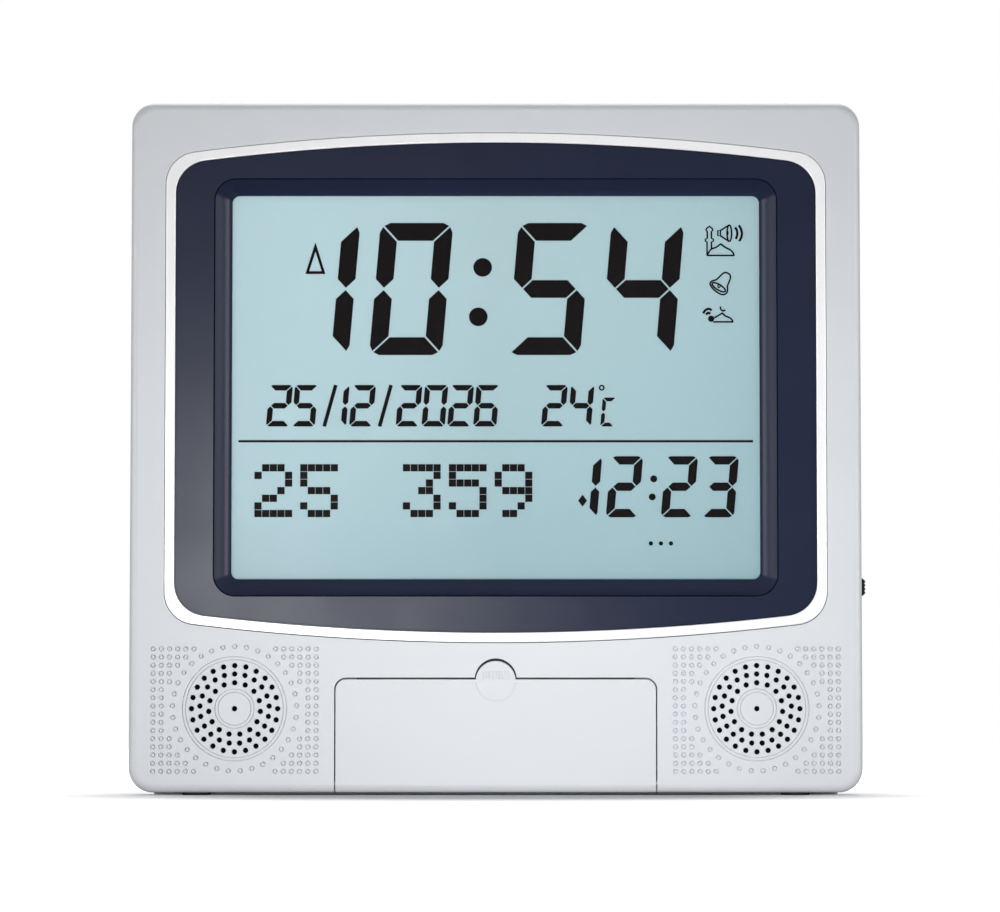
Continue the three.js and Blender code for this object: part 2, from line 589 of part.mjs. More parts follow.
// Front shell: face, sides, display well, speaker seats, keypad pocket and screw bosses.
function frontCase() {
  const shell = caseBlank.intersect(slab(FRONT_Y - OVERRUN, PARTING_Y)).subtract(caseCavity);
  const wallMiddleY = FRONT_Y + CASE_WALL / 2;
  const wellSurround = plate(archedPoints(-FIT_GAP - CASE_WALL), wallMiddleY, LEDGE_BACK_Y);
  const pocketSurround = block(
    -POCKET_HALF_WIDTH - CASE_WALL, POCKET_HALF_WIDTH + CASE_WALL,
    wallMiddleY, PANEL_BACK_Y,
    BASE_Z + CASE_WALL / 2, POCKET_TOP_Z + CASE_WALL,
  );
  const notchSurround = rodY(
    0, NOTCH_Z, NOTCH_RADIUS + CASE_WALL, wallMiddleY, FRONT_Y + DOOR_NOTCH_DEPTH + CASE_WALL, 16,
  );
  const bosses = bossPlaces.map(([x, z]) => (
    rodY(x, z, BOSS_RADIUS, FRONT_INSIDE_Y - OVERRUN, PARTING_Y, 12)
  ));
  const posts = keypadPostPlaces.map(([x, z]) => (
    rodY(x, z, KEYPAD_POST_RADIUS, PANEL_BACK_Y - OVERRUN, KEYPAD_BOARD_FRONT_Y, 12)
  ));
  const full = join([
    shell, wellSurround, pocketSurround, notchSurround,
    speakerSeat(-SPEAKER_X), speakerSeat(SPEAKER_X), ...bosses, ...posts,
  ]);

  const well = plate(archedPoints(-FIT_GAP), FRONT_Y - OVERRUN, WELL_FLOOR_Y);
  const displayOpening = plate(
    roundedPoints(
      FUNNEL_WIDTH + 2 * FIT_GAP, FUNNEL_HEIGHT + 2 * FIT_GAP,
      RECESS_CORNER_RADIUS + BEZEL_WALL + FIT_GAP, 0, WINDOW_Z,
    ),
    FRONT_Y - OVERRUN, LEDGE_BACK_Y + OVERRUN,
  );
  const pocket = block(
    -POCKET_HALF_WIDTH, POCKET_HALF_WIDTH, FRONT_Y - OVERRUN, PANEL_FRONT_Y,
    POCKET_FLOOR_Z, POCKET_TOP_Z,
  );
  const pocketMouth = plate(
    doorOutline(DOOR_GAP), FRONT_Y - OVERRUN, FRONT_INSIDE_Y,
  );
  const mouthCorners = block(
    -POCKET_HALF_WIDTH, POCKET_HALF_WIDTH, FRONT_Y - OVERRUN, FRONT_INSIDE_Y,
    POCKET_FLOOR_Z, POCKET_TOP_Z,
  ).subtract(pocketMouth);
  const swing = block(
    -POCKET_HALF_WIDTH, POCKET_HALF_WIDTH, FRONT_Y - OVERRUN, FRONT_Y + DOOR_SWING_DEPTH,
    BASE_Z - OVERRUN, POCKET_FLOOR_Z + OVERRUN,
  );
  const notch = rodY(0, NOTCH_Z, NOTCH_RADIUS, FRONT_Y - OVERRUN, FRONT_Y + DOOR_NOTCH_DEPTH, 24);
  const hingeHoles = [-1, 1].map((side) => {
    const x0 = side * (POCKET_HALF_WIDTH - OVERRUN);
    const x1 = side * (DOOR_WIDTH / 2 + DOOR_PIN_LENGTH + FIT_GAP);
    return rodX(HINGE_Y, HINGE_Z, DOOR_PIN_RADIUS + FIT_GAP / 2, Math.min(x0, x1), Math.max(x0, x1));
  });
  const buttonHoles = buttonPlaces.map(([x, z]) => (
    plate(
      roundedPoints(
        BUTTON_WIDTH + 2 * FIT_GAP, BUTTON_HEIGHT + 2 * FIT_GAP, BUTTON_CORNER_RADIUS + FIT_GAP, x, z, 2,
      ),
      PANEL_FRONT_Y - OVERRUN, PANEL_BACK_Y + OVERRUN,
    )
  ));
  const screwHoles = bossPlaces.map(([x, z]) => (
    rodY(x, z, SCREW_RADIUS + SCREW_HOLE_GAP, PARTING_Y - SCREW_BITE, PARTING_Y + OVERRUN, 8)
  ));
  const holderHoles = holderScrewPlaces.map(([x, z]) => (
    rodY(x, z, SCREW_RADIUS + SCREW_HOLE_GAP, LEDGE_BACK_Y - SMALL_SCREW_BITE, LEDGE_BACK_Y + OVERRUN, 8)
  ));
  const keypadHoles = keypadPostPlaces.map(([x, z]) => (
    rodY(
      x, z, SCREW_RADIUS + SCREW_HOLE_GAP,
      KEYPAD_BOARD_FRONT_Y - SMALL_SCREW_BITE, KEYPAD_BOARD_FRONT_Y + OVERRUN, 8,
    )
  ));
  const switchSlot = block(
    SIDE_INSIDE_X - OVERRUN, SIDE_X + OVERRUN,
    KNOB_Y - KNOB_WIDTH / 2 - FIT_GAP, KNOB_Y + KNOB_WIDTH / 2 + FIT_GAP,
    KNOB_Z - KNOB_LENGTH / 2 - FIT_GAP, KNOB_Z + KNOB_LENGTH / 2 + KNOB_TRAVEL + FIT_GAP,
  );
  return cut(full, [
    well, displayOpening, pocket.subtract(mouthCorners), swing, notch, switchSlot,
    ...hingeHoles, ...buttonHoles, ...screwHoles, ...holderHoles, ...keypadHoles,
    ...grilleHoles(-SPEAKER_X), ...grilleHoles(SPEAKER_X),
  ]);
}

// The door's outline, grown by a margin, with rounded upper corners.
function doorOutline(margin) {
  const half = DOOR_WIDTH / 2 + margin;
  const top = DOOR_TOP_Z + margin;
  const radius = DOOR_CORNER_RADIUS + margin;
  return [
    ...arc(half - radius, top - radius, radius, 0, Math.PI / 2, 5),
    ...arc(radius - half, top - radius, radius, Math.PI / 2, Math.PI, 5),
    new THREE.Vector2(-half, BASE_Z - OVERRUN),
    new THREE.Vector2(half, BASE_Z - OVERRUN),
  ];
}

// Keypad door: a plate with a finger tab, a lower lip, two hinge pins and a latch tongue.
function frontDoor() {
  const face = plate(doorOutline(0), FRONT_Y - OVERRUN, DOOR_INSIDE_Y);
  const tab = rodY(0, DOOR_TOP_Z, DOOR_TAB_RADIUS, FRONT_Y, DOOR_INSIDE_Y, 24);
  const lip = block(
    -DOOR_WIDTH / 2, DOOR_WIDTH / 2, FRONT_Y, FRONT_Y + DOOR_LIP_DEPTH, BASE_Z, BASE_Z + DOOR_THICKNESS,
  );
  const hinge = [-1, 1].flatMap((side) => {
    const edge = side * DOOR_WIDTH / 2;
    const inner = edge - side * DOOR_LUG_LENGTH;
    const tip = edge + side * DOOR_PIN_LENGTH;
    return [
      rodX(HINGE_Y, HINGE_Z, DOOR_LUG_RADIUS, Math.min(inner, edge), Math.max(inner, edge)),
      rodX(HINGE_Y, HINGE_Z, DOOR_PIN_RADIUS, Math.min(inner, tip), Math.max(inner, tip)),
    ];
  });
  const latchTop = DOOR_TOP_Z - LATCH_DROP;
  const latch = block(
    -LATCH_WIDTH / 2, LATCH_WIDTH / 2, DOOR_INSIDE_Y - DOOR_THICKNESS / 2, DOOR_INSIDE_Y + LATCH_LENGTH,
    latchTop - LATCH_THICKNESS, latchTop,
  );
  return join([face.intersect(caseBlank), tab, lip.intersect(caseBlank), ...hinge, latch]);
}

// Leaf catch under the pocket's ceiling, which the latch tongue slips under.
function doorCatch() {
  const y0 = DOOR_INSIDE_Y + LATCH_LENGTH - CATCH_LENGTH / 2;
  const halfWidth = LATCH_WIDTH / 2;
  const leaf = block(
    -halfWidth, halfWidth, y0, y0 + CATCH_LENGTH, POCKET_TOP_Z - CATCH_SHEET, POCKET_TOP_Z,
  );
  const bump = block(
    -halfWidth, halfWidth, DOOR_INSIDE_Y + LATCH_LENGTH - 2 * CATCH_SHEET, DOOR_INSIDE_Y + LATCH_LENGTH,
    DOOR_TOP_Z - LATCH_DROP + FIT_GAP, POCKET_TOP_Z - CATCH_SHEET / 2,
  );
  return leaf.add(bump);
}

// Push button: a cap, a flange that stops it behind the panel and a stem to its switch.
function button([x, z]) {
  const capFront = PANEL_FRONT_Y - BUTTON_PROUD;
  const cap = softPlate(
    roundedPoints(BUTTON_WIDTH, BUTTON_HEIGHT, BUTTON_CORNER_RADIUS, x, z, 2),
    capFront, FLANGE_FRONT_Y, BUTTON_PROUD / 4, 1,
  );
  const flangeHalfWidth = BUTTON_WIDTH / 2 + BUTTON_FLANGE;
  const flangeHalfHeight = BUTTON_HEIGHT / 2 + BUTTON_FLANGE;
  const flange = block(
    x - flangeHalfWidth, x + flangeHalfWidth, FLANGE_FRONT_Y, FLANGE_BACK_Y,
    z - flangeHalfHeight, z + flangeHalfHeight,
  );
  const stem = rodY(x, z, BUTTON_STEM_RADIUS, FLANGE_BACK_Y - BUTTON_FLANGE_SHEET / 2, STEM_BACK_Y, 8);
  return join([cap, flange, stem]);
}

// Board behind the buttons, with a push switch soldered on for each of them.
function keypadBoard() {
  const reach = KEYPAD_HALF_WIDTH + KEYPAD_POST_RADIUS;
  const board = block(
    -reach, reach, KEYPAD_BOARD_FRONT_Y, KEYPAD_BOARD_BACK_Y,
    KEYPAD_Z - KEYPAD_HALF_HEIGHT, KEYPAD_Z + KEYPAD_HALF_HEIGHT,
  );
  const switches = buttonPlaces.flatMap(([x, z]) => [
    block(
      x - TACT_SIZE / 2, x + TACT_SIZE / 2, TACT_FRONT_Y, KEYPAD_BOARD_FRONT_Y + BOARD_THICKNESS / 2,
      z - TACT_SIZE / 2, z + TACT_SIZE / 2,
    ),
    rodY(x, z, TACT_PLUNGER_RADIUS, PLUNGER_FRONT_Y, TACT_FRONT_Y + TACT_PLUNGER_HEIGHT, 8),
  ]);
  return cut(join([board, ...switches]), keypadPostPlaces.map(([x, z]) => (
    rodY(
      x, z, SCREW_RADIUS + SCREW_HOLE_GAP, KEYPAD_BOARD_FRONT_Y - OVERRUN, KEYPAD_BOARD_BACK_Y + OVERRUN, 8,
    )
  )));
}

// A screw with its head seated on the plane headY and its tip towards -Y.
function screw([x, z], headY, length) {
  const head = rodY(x, z, SCREW_HEAD_RADIUS, headY, headY + SCREW_HEAD_HEIGHT, 8);
  return head.add(rodY(x, z, SCREW_RADIUS, headY - length, headY + SCREW_HEAD_HEIGHT / 2, 6));
}

// Glossy band round the bezel.
function trimRing() {
  return softPlate(
    archedPoints(0), FRONT_Y - TRIM_PROUD, WELL_FLOOR_Y, TRIM_EDGE_RADIUS, 1,
    [archedPoints(TRIM_BAND).reverse()],
  );
}

// Dark bezel: a flat arched face that slopes down to the window.
function bezel() {
  const face = plate(archedPoints(TRIM_BAND + FIT_GAP), BEZEL_FRONT_Y, WELL_FLOOR_Y);
  const funnel = plate(
    roundedPoints(FUNNEL_WIDTH, FUNNEL_HEIGHT, RECESS_CORNER_RADIUS + BEZEL_WALL, 0, WINDOW_Z),
    BEZEL_FRONT_Y + BEZEL_WALL, BEZEL_BACK_Y,
  );
  const lipY = BEZEL_FRONT_Y + RECESS_SLOPE_DEPTH;
  const slopePerDepth = (RECESS_BORDER - WINDOW_LIP) / RECESS_SLOPE_DEPTH;
  const mouthGrowth = slopePerDepth * OVERRUN;
  const mouth = roundedPoints(
    RECESS_WIDTH + 2 * mouthGrowth, RECESS_HEIGHT + 2 * mouthGrowth,
    RECESS_CORNER_RADIUS + mouthGrowth, 0, WINDOW_Z,
  );
  const slopeFoot = roundedPoints(
    WINDOW_WIDTH + 2 * WINDOW_LIP, WINDOW_HEIGHT + 2 * WINDOW_LIP,
    WINDOW_CORNER_RADIUS + WINDOW_LIP, 0, WINDOW_Z,
  );
  const slope = loft(mouth, BEZEL_FRONT_Y - OVERRUN, slopeFoot, lipY);
  const opening = plate(
    roundedPoints(WINDOW_WIDTH, WINDOW_HEIGHT, WINDOW_CORNER_RADIUS, 0, WINDOW_Z),
    BEZEL_FRONT_Y - OVERRUN, BEZEL_BACK_Y + OVERRUN,
  );
  return cut(face.add(funnel), [slope, opening]);
}

// Clear sheet behind the bezel's opening.
function windowLens() {
  return plate(
    roundedPoints(LENS_WIDTH, LENS_HEIGHT, WINDOW_CORNER_RADIUS, 0, WINDOW_Z, 3),
    BEZEL_BACK_Y, LENS_BACK_Y,
  );
}

// The front glass carries the display's dark artwork as low raised areas on its face.
function displayFrontGlass() {
  const glass = block(
    -GLASS_WIDTH / 2, GLASS_WIDTH / 2, GLASS_FRONT_Y, GLASS_JOINT_Y,
    GLASS_BASE_Z, GLASS_BASE_Z + GLASS_HEIGHT,
  );
  return join([
    glass,
    ...digitRow(TIME_ROW, TIME_DIGIT_SHARES), ...colon(TIME_ROW, TIME_COLON),
    ...digitRow(DATE_ROW, DATE_DIGIT_SHARES), ...slashes(),
    ...digitRow(UNIT_ROW, UNIT_DIGIT_SHARES), degreeRing(), ruleLine(), ...matrixDots(),
    ...digitRow(PRAYER_ROW, PRAYER_DIGIT_SHARES), ...colon(PRAYER_ROW, PRAYER_COLON),
  ]);
}

// The rear glass stops short of the front one and leaves its contact ledge free.
function displayRearGlass() {
  return block(
    -GLASS_WIDTH / 2, GLASS_WIDTH / 2, GLASS_JOINT_Y, GLASS_BACK_Y,
    GLASS_BASE_Z + CONTACT_LEDGE, GLASS_BASE_Z + GLASS_HEIGHT,
  );
}

// Tray behind the bezel that holds the lens and both glasses against it.
function displayHolder() {
  const blank = plate(
    roundedPoints(HOLDER_WIDTH, HOLDER_HEIGHT, CASE_CORNER_RADIUS, 0, WINDOW_Z),
    LEDGE_BACK_Y, HOLDER_BACK_Y,
  );
  const tray = plate(
    roundedPoints(
      LENS_WIDTH + 2 * FIT_GAP, LENS_HEIGHT + 2 * FIT_GAP, WINDOW_CORNER_RADIUS + FIT_GAP, 0, WINDOW_Z, 3,
    ),
    LEDGE_BACK_Y - OVERRUN, GLASS_BACK_Y,
  );
  const opening = plate(
    roundedPoints(
      WINDOW_WIDTH - 2 * HOLDER_BORDER_INSIDE, WINDOW_HEIGHT - 2 * HOLDER_BORDER_INSIDE,
      WINDOW_CORNER_RADIUS, 0, WINDOW_Z, 3,
    ),
    LEDGE_BACK_Y - OVERRUN, HOLDER_BACK_Y + OVERRUN,
  );
  const zebraSlot = block(
    -ZEBRA_HALF_WIDTH - FIT_GAP, ZEBRA_HALF_WIDTH + FIT_GAP, GLASS_JOINT_Y, HOLDER_BACK_Y + OVERRUN,
    GLASS_BASE_Z, GLASS_BASE_Z + ZEBRA_THICKNESS + 2 * FIT_GAP,
  );
  const holes = holderScrewPlaces.map(([x, z]) => (
    rodY(x, z, SCREW_RADIUS + SCREW_HOLE_GAP, LEDGE_BACK_Y - OVERRUN, HOLDER_BACK_Y + OVERRUN, 8)
  ));
  const posts = boardPostPlaces().map(([x, z]) => (
    rodY(x, z, SCREW_HEAD_RADIUS, HOLDER_BACK_Y - HOLDER_WALL / 2, BOARD_FRONT_Y, 8)
  ));
  return cut(join([cut(blank, [tray, opening, zebraSlot]), ...posts]), holes);
}

// Places of the four posts that the main board stands on.
function boardPostPlaces() {
  const x = BOARD_HALF_WIDTH - SCREW_HEAD_RADIUS;
  return [-x, x].flatMap((side) => [
    [side, BOARD_BASE_Z + CONTACT_LEDGE], [side, BOARD_TOP_Z - SCREW_HEAD_RADIUS],
  ]);
}

// Rubber connector from the front glass's ledge back to the main board.
function zebraStrip() {
  return block(
    -ZEBRA_HALF_WIDTH, ZEBRA_HALF_WIDTH, GLASS_JOINT_Y, BOARD_FRONT_Y,
    GLASS_BASE_Z + FIT_GAP, GLASS_BASE_Z + FIT_GAP + ZEBRA_THICKNESS,
  );
}

// Main circuit board, behind the lower part of the display.
function mainBoard() {
  return block(
    -BOARD_HALF_WIDTH, BOARD_HALF_WIDTH, BOARD_FRONT_Y, BOARD_BACK_Y, BOARD_BASE_Z, BOARD_TOP_Z,
  );
}

// Chip in the middle of the main board's back.
function boardChip(x) {
  const z = (BOARD_BASE_Z + BOARD_TOP_Z) / 2;
  return block(
    x - CHIP_SIZE / 2, x + CHIP_SIZE / 2, BOARD_BACK_Y, BOARD_BACK_Y + CHIP_HEIGHT,
    z - CHIP_SIZE / 2, z + CHIP_SIZE / 2,
  );
}

// Round capacitor that stands on the main board.
function capacitor(x) {
  const z = BOARD_TOP_Z - 2 * CAPACITOR_RADIUS;
  return rodY(x, z, CAPACITOR_RADIUS, BOARD_BACK_Y, BOARD_BACK_Y + CAPACITOR_HEIGHT, 12);
}

// Quartz can that lies on the main board.
function quartzCrystal() {
  const z = BOARD_BASE_Z + MAIN_BOARD_HEIGHT / 4;
  return rodX(BOARD_BACK_Y + QUARTZ_RADIUS, z, QUARTZ_RADIUS, -QUARTZ_LENGTH / 2, QUARTZ_LENGTH / 2, 12);
}

// Speaker parts, each turned about the grille's centre.
const speakerNeck = SPEAKER_RADIUS / 2;
const speakerBasketY = FRONT_INSIDE_Y + SPEAKER_BASKET_SHARE * SPEAKER_DEPTH;
function speakerFrame(x) {
  const bottomY = speakerBasketY - SPEAKER_SHEET;
  return turned(x, SPEAKER_Z, [
    [0, speakerBasketY],
    [speakerNeck + SPEAKER_SHEET, speakerBasketY],
    [SPEAKER_RADIUS - SPEAKER_SHEET, FRONT_INSIDE_Y + SPEAKER_SHEET],
    [SPEAKER_RADIUS, FRONT_INSIDE_Y + SPEAKER_SHEET],
    [SPEAKER_RADIUS, FRONT_INSIDE_Y],
    [SPEAKER_RADIUS - 2 * SPEAKER_SHEET, FRONT_INSIDE_Y],
    [speakerNeck, bottomY],
    [0, bottomY],
  ]);
}

// Paper cone inside the frame's flare.
function speakerCone(x) {
  const bottomY = speakerBasketY - SPEAKER_SHEET - FIT_GAP;
  const rimY = FRONT_INSIDE_Y + 2 * FIT_GAP;
  const basketDepth = speakerBasketY - SPEAKER_SHEET - FRONT_INSIDE_Y;
  const flare = (SPEAKER_RADIUS - 2 * SPEAKER_SHEET - speakerNeck) / basketDepth;
  const throat = speakerNeck - 2 * FIT_GAP;
  const rim = throat + flare * (bottomY - rimY - FIT_GAP);
  return turned(x, SPEAKER_Z, [
    [0, bottomY],
    [throat, bottomY],
    [rim, rimY + FIT_GAP],
    [rim - 2 * FIT_GAP, rimY],
    [throat / 2, bottomY - SPEAKER_SHEET],
    [0, bottomY - 2 * SPEAKER_SHEET],
  ]);
}

// Magnet behind the frame.
function speakerMagnet(x) {
  return rodY(x, SPEAKER_Z, speakerNeck, speakerBasketY, FRONT_INSIDE_Y + SPEAKER_DEPTH, 18);
}

// Height of a cell's axis, counted from the top.
function batteryZ(index) {
  return BATTERY_Z + ((BATTERY_COUNT - 1) / 2 - index) * BATTERY_PITCH;
}

// Alternate cells face opposite ways, so that they sit in series.
function batteryCell(index) {
  const way = index % 2 === 0 ? 1 : -1;
  const half = BATTERY_LENGTH / 2;
  const z = batteryZ(index);
  const tip = way * half;
  const bodyEnds = [-tip, way * (half - BATTERY_NUB_LENGTH)];
  return join([
    rodX(BATTERY_Y, z, BATTERY_RADIUS, Math.min(...bodyEnds), Math.max(...bodyEnds), 16),
    rodX(BATTERY_Y, z, BATTERY_NUB_RADIUS, Math.min(0, tip), Math.max(0, tip), 10),
  ]);
}

// A contact at one end of one cell, or of two cells that it bridges: a sheet with a spring
// or stud for each cell.
function batteryContact(side, indexes) {
  const wallX = side * BATTERY_BOX_HALF_WIDTH;
  const sheetX = side * (BATTERY_BOX_HALF_WIDTH - CONTACT_SHEET);
  const tipX = side * (BATTERY_LENGTH / 2 + FIT_GAP);
  const heights = indexes.map(batteryZ);
  const sheet = block(
    Math.min(wallX, sheetX), Math.max(wallX, sheetX),
    BATTERY_Y - CONTACT_SIZE / 2, BATTERY_Y + CONTACT_SIZE / 2,
    Math.min(...heights) - CONTACT_SIZE / 2, Math.max(...heights) + CONTACT_SIZE / 2,
  );
  const middleX = (wallX + sheetX) / 2;
  return join([sheet, ...heights.map((z) => (
    rodX(BATTERY_Y, z, CONTACT_SPRING_RADIUS, Math.min(middleX, tipX), Math.max(middleX, tipX), 10)
  ))]);
}

// The battery cover's outline, grown by a margin.
function batteryDoorOutline(margin) {
  return roundedPoints(
    2 * (BATTERY_BOX_HALF_WIDTH + BATTERY_DOOR_LAP + margin),
    2 * (BATTERY_BOX_HALF_HEIGHT + BATTERY_DOOR_LAP + margin),
    BATTERY_DOOR_CORNER_RADIUS + margin, 0, BATTERY_Z, 3,
  );
}

// Battery cover: a flat plate that drops into a rabbet, with a snap tab behind its upper edge.
function batteryDoor() {
  const cover = plate(batteryDoorOutline(0), BATTERY_DOOR_INSIDE_Y, BACK_Y);
  const tabTop = BATTERY_Z + BATTERY_BOX_HALF_HEIGHT - FIT_GAP;
  const tab = block(
    -BATTERY_TAB_WIDTH / 2, BATTERY_TAB_WIDTH / 2,
    BATTERY_DOOR_INSIDE_Y - FIT_GAP, BATTERY_DOOR_INSIDE_Y + BATTERY_DOOR_SHEET / 2,
    tabTop - BATTERY_DOOR_SHEET, tabTop,
  );
  return cover.add(tab);
}

// Round entry and upright slot of one keyhole.
function keyholeCuts(x, z) {
  const y0 = BACK_Y - CASE_WALL - OVERRUN;
  const y1 = BACK_Y + OVERRUN;
  return [
    rodY(x, z, KEYHOLE_ENTRY_RADIUS, y0, y1, 16),
    rodY(x, z + KEYHOLE_SLOT_LENGTH, KEYHOLE_SLOT_RADIUS, y0, y1, 12),
    block(x - KEYHOLE_SLOT_RADIUS, x + KEYHOLE_SLOT_RADIUS, y0, y1, z, z + KEYHOLE_SLOT_LENGTH),
  ];
}

// Back shell: wall, battery box, stand recess, keyhole pockets and screw posts.
function backCase() {
  const shell = caseBlank.intersect(slab(PARTING_Y, BACK_Y + OVERRUN)).subtract(caseCavity);
  const wallMiddleY = BACK_Y - CASE_WALL / 2;
  const batteryBox = block(
    -BATTERY_BOX_HALF_WIDTH - BATTERY_BOX_WALL, BATTERY_BOX_HALF_WIDTH + BATTERY_BOX_WALL,
    BATTERY_FLOOR_Y - BATTERY_BOX_WALL, wallMiddleY,
    BATTERY_Z - BATTERY_BOX_HALF_HEIGHT - BATTERY_BOX_WALL,
    BATTERY_Z + BATTERY_BOX_HALF_HEIGHT + BATTERY_BOX_WALL,
  );
  const batteryRim = block(
    -BATTERY_BOX_HALF_WIDTH - 2 * BATTERY_DOOR_LAP, BATTERY_BOX_HALF_WIDTH + 2 * BATTERY_DOOR_LAP,
    BATTERY_DOOR_INSIDE_Y - BATTERY_BOX_WALL, wallMiddleY,
    BATTERY_Z - BATTERY_BOX_HALF_HEIGHT - 2 * BATTERY_DOOR_LAP,
    BATTERY_Z + BATTERY_BOX_HALF_HEIGHT + 2 * BATTERY_DOOR_LAP,
  );
  const legRecessBase = LEG_BASE_Z - FIT_GAP;
  const legWall = LEG_RECESS_HALF_WIDTH + LEG_PIN_LENGTH + LEG_RECESS_WALL;
  const notchY = BACK_Y - LEG_NOTCH_DEPTH;
  const legSurround = block(
    -legWall, legWall, LEG_RECESS_Y - LEG_RECESS_WALL, wallMiddleY,
    legRecessBase - LEG_RECESS_WALL, LEG_RECESS_TOP_Z + LEG_RECESS_WALL,
  );
  const notchWall = LEG_NOTCH_RADIUS + LEG_RECESS_WALL;
  const notchSurround = block(
    -notchWall, notchWall, notchY - LEG_RECESS_WALL, wallMiddleY,
    legRecessBase - LEG_RECESS_WALL, LEG_BASE_Z + notchWall,
  );
  const keyholeX = SIDE_X - KEYHOLE_SIDE_INSET;
  const keyholeZ = TOP_Z - KEYHOLE_TOP_INSET;
  const pocketHalfWidth = KEYHOLE_ENTRY_RADIUS + KEYHOLE_POCKET_MARGIN;
  const keyholePockets = [-keyholeX, keyholeX].map((x) => ({
    wall: block(
      x - pocketHalfWidth - CASE_WALL / 2, x + pocketHalfWidth + CASE_WALL / 2,
      BACK_INSIDE_Y - KEYHOLE_POCKET_DEPTH - CASE_WALL / 2, wallMiddleY,
      keyholeZ - pocketHalfWidth - CASE_WALL / 2,
      keyholeZ + KEYHOLE_SLOT_LENGTH + pocketHalfWidth + CASE_WALL / 2,
    ),
    hollow: block(
      x - pocketHalfWidth, x + pocketHalfWidth, BACK_INSIDE_Y - KEYHOLE_POCKET_DEPTH, BACK_INSIDE_Y,
      keyholeZ - pocketHalfWidth, keyholeZ + KEYHOLE_SLOT_LENGTH + pocketHalfWidth,
    ),
  }));
  const posts = bossPlaces.map(([x, z]) => (
    rodY(x, z, SCREW_HEAD_RADIUS + FIT_GAP + BATTERY_BOX_WALL, PARTING_Y, wallMiddleY, 12)
  ));
  const full = join([
    shell, batteryBox, batteryRim, legSurround, notchSurround, ...keyholePockets.map(({ wall }) => wall),
    ...posts,
  ]);

  const batteryHollow = block(
    -BATTERY_BOX_HALF_WIDTH, BATTERY_BOX_HALF_WIDTH, BATTERY_FLOOR_Y, BACK_Y + OVERRUN,
    BATTERY_Z - BATTERY_BOX_HALF_HEIGHT, BATTERY_Z + BATTERY_BOX_HALF_HEIGHT,
  );
  const batteryRabbet = plate(batteryDoorOutline(FIT_GAP), BATTERY_DOOR_INSIDE_Y, BACK_Y + OVERRUN);
  const scoopTop = BATTERY_Z + BATTERY_BOX_HALF_HEIGHT + BATTERY_DOOR_LAP + FIT_GAP;
  const scoop = block(
    -BATTERY_TAB_WIDTH / 2, BATTERY_TAB_WIDTH / 2, BACK_Y - CASE_WALL / 2, BACK_Y + OVERRUN,
    scoopTop - BATTERY_DOOR_LAP / 2, scoopTop + BATTERY_SCOOP_HEIGHT,
  );
  const legRecess = block(
    -LEG_RECESS_HALF_WIDTH, LEG_RECESS_HALF_WIDTH, LEG_RECESS_Y, BACK_Y + OVERRUN,
    legRecessBase, LEG_RECESS_TOP_Z,
  );
  const legNotch = rodY(0, LEG_BASE_Z, LEG_NOTCH_RADIUS, notchY, BACK_Y + OVERRUN, 20).intersect(block(
    -LEG_NOTCH_RADIUS, LEG_NOTCH_RADIUS, notchY, BACK_Y + OVERRUN,
    legRecessBase, LEG_BASE_Z + LEG_NOTCH_RADIUS,
  ));
  const pinReach = LEG_RECESS_HALF_WIDTH + LEG_PIN_LENGTH;
  const pinHole = rodX(LEG_Y, LEG_HINGE_Z, LEG_PIN_RADIUS + FIT_GAP / 2, -pinReach, pinReach);
  const screwHoles = bossPlaces.flatMap(([x, z]) => [
    rodY(x, z, SCREW_RADIUS + SCREW_HOLE_GAP, PARTING_Y - OVERRUN, BACK_Y, 8),
    rodY(x, z, SCREW_HEAD_RADIUS + FIT_GAP, BACK_Y - BOSS_SINK, BACK_Y + OVERRUN, 10),
  ]);
  return cut(full, [
    batteryHollow, batteryRabbet, scoop, legRecess, legNotch, pinHole,
    ...keyholePockets.map(({ hollow }) => hollow),
    ...keyholeCuts(-keyholeX, keyholeZ), ...keyholeCuts(keyholeX, keyholeZ), ...screwHoles,
  ]);
}

// Folding rear leg: a plate with a barrel and two pins at its upper edge, and a round finger
// notch that leaves two feet at its lower edge.
function standLeg() {
  const half = LEG_WIDTH / 2;
  const radius = LEG_CORNER_RADIUS;
  const cornerZ = LEG_BASE_Z + radius;
  const outline = [
    new THREE.Vector2(half, LEG_HINGE_Z),
    new THREE.Vector2(-half, LEG_HINGE_Z),
    ...arc(radius - half, cornerZ, radius, Math.PI, 1.5 * Math.PI, 4),
    ...arc(0, LEG_BASE_Z, LEG_NOTCH_RADIUS, Math.PI, 0, 10),
    ...arc(half - radius, cornerZ, radius, 1.5 * Math.PI, 2 * Math.PI, 4),
  ];
  const leaf = plate(outline, LEG_Y - LEG_THICKNESS / 2, LEG_Y + LEG_THICKNESS / 2);
  const barrel = rodX(LEG_Y, LEG_HINGE_Z, LEG_BARREL_RADIUS, -half, half);
  const pinReach = half + LEG_PIN_LENGTH;
  const pins = rodX(LEG_Y, LEG_HINGE_Z, LEG_PIN_RADIUS, -pinReach, pinReach);
  return join([leaf, barrel, pins]);
}

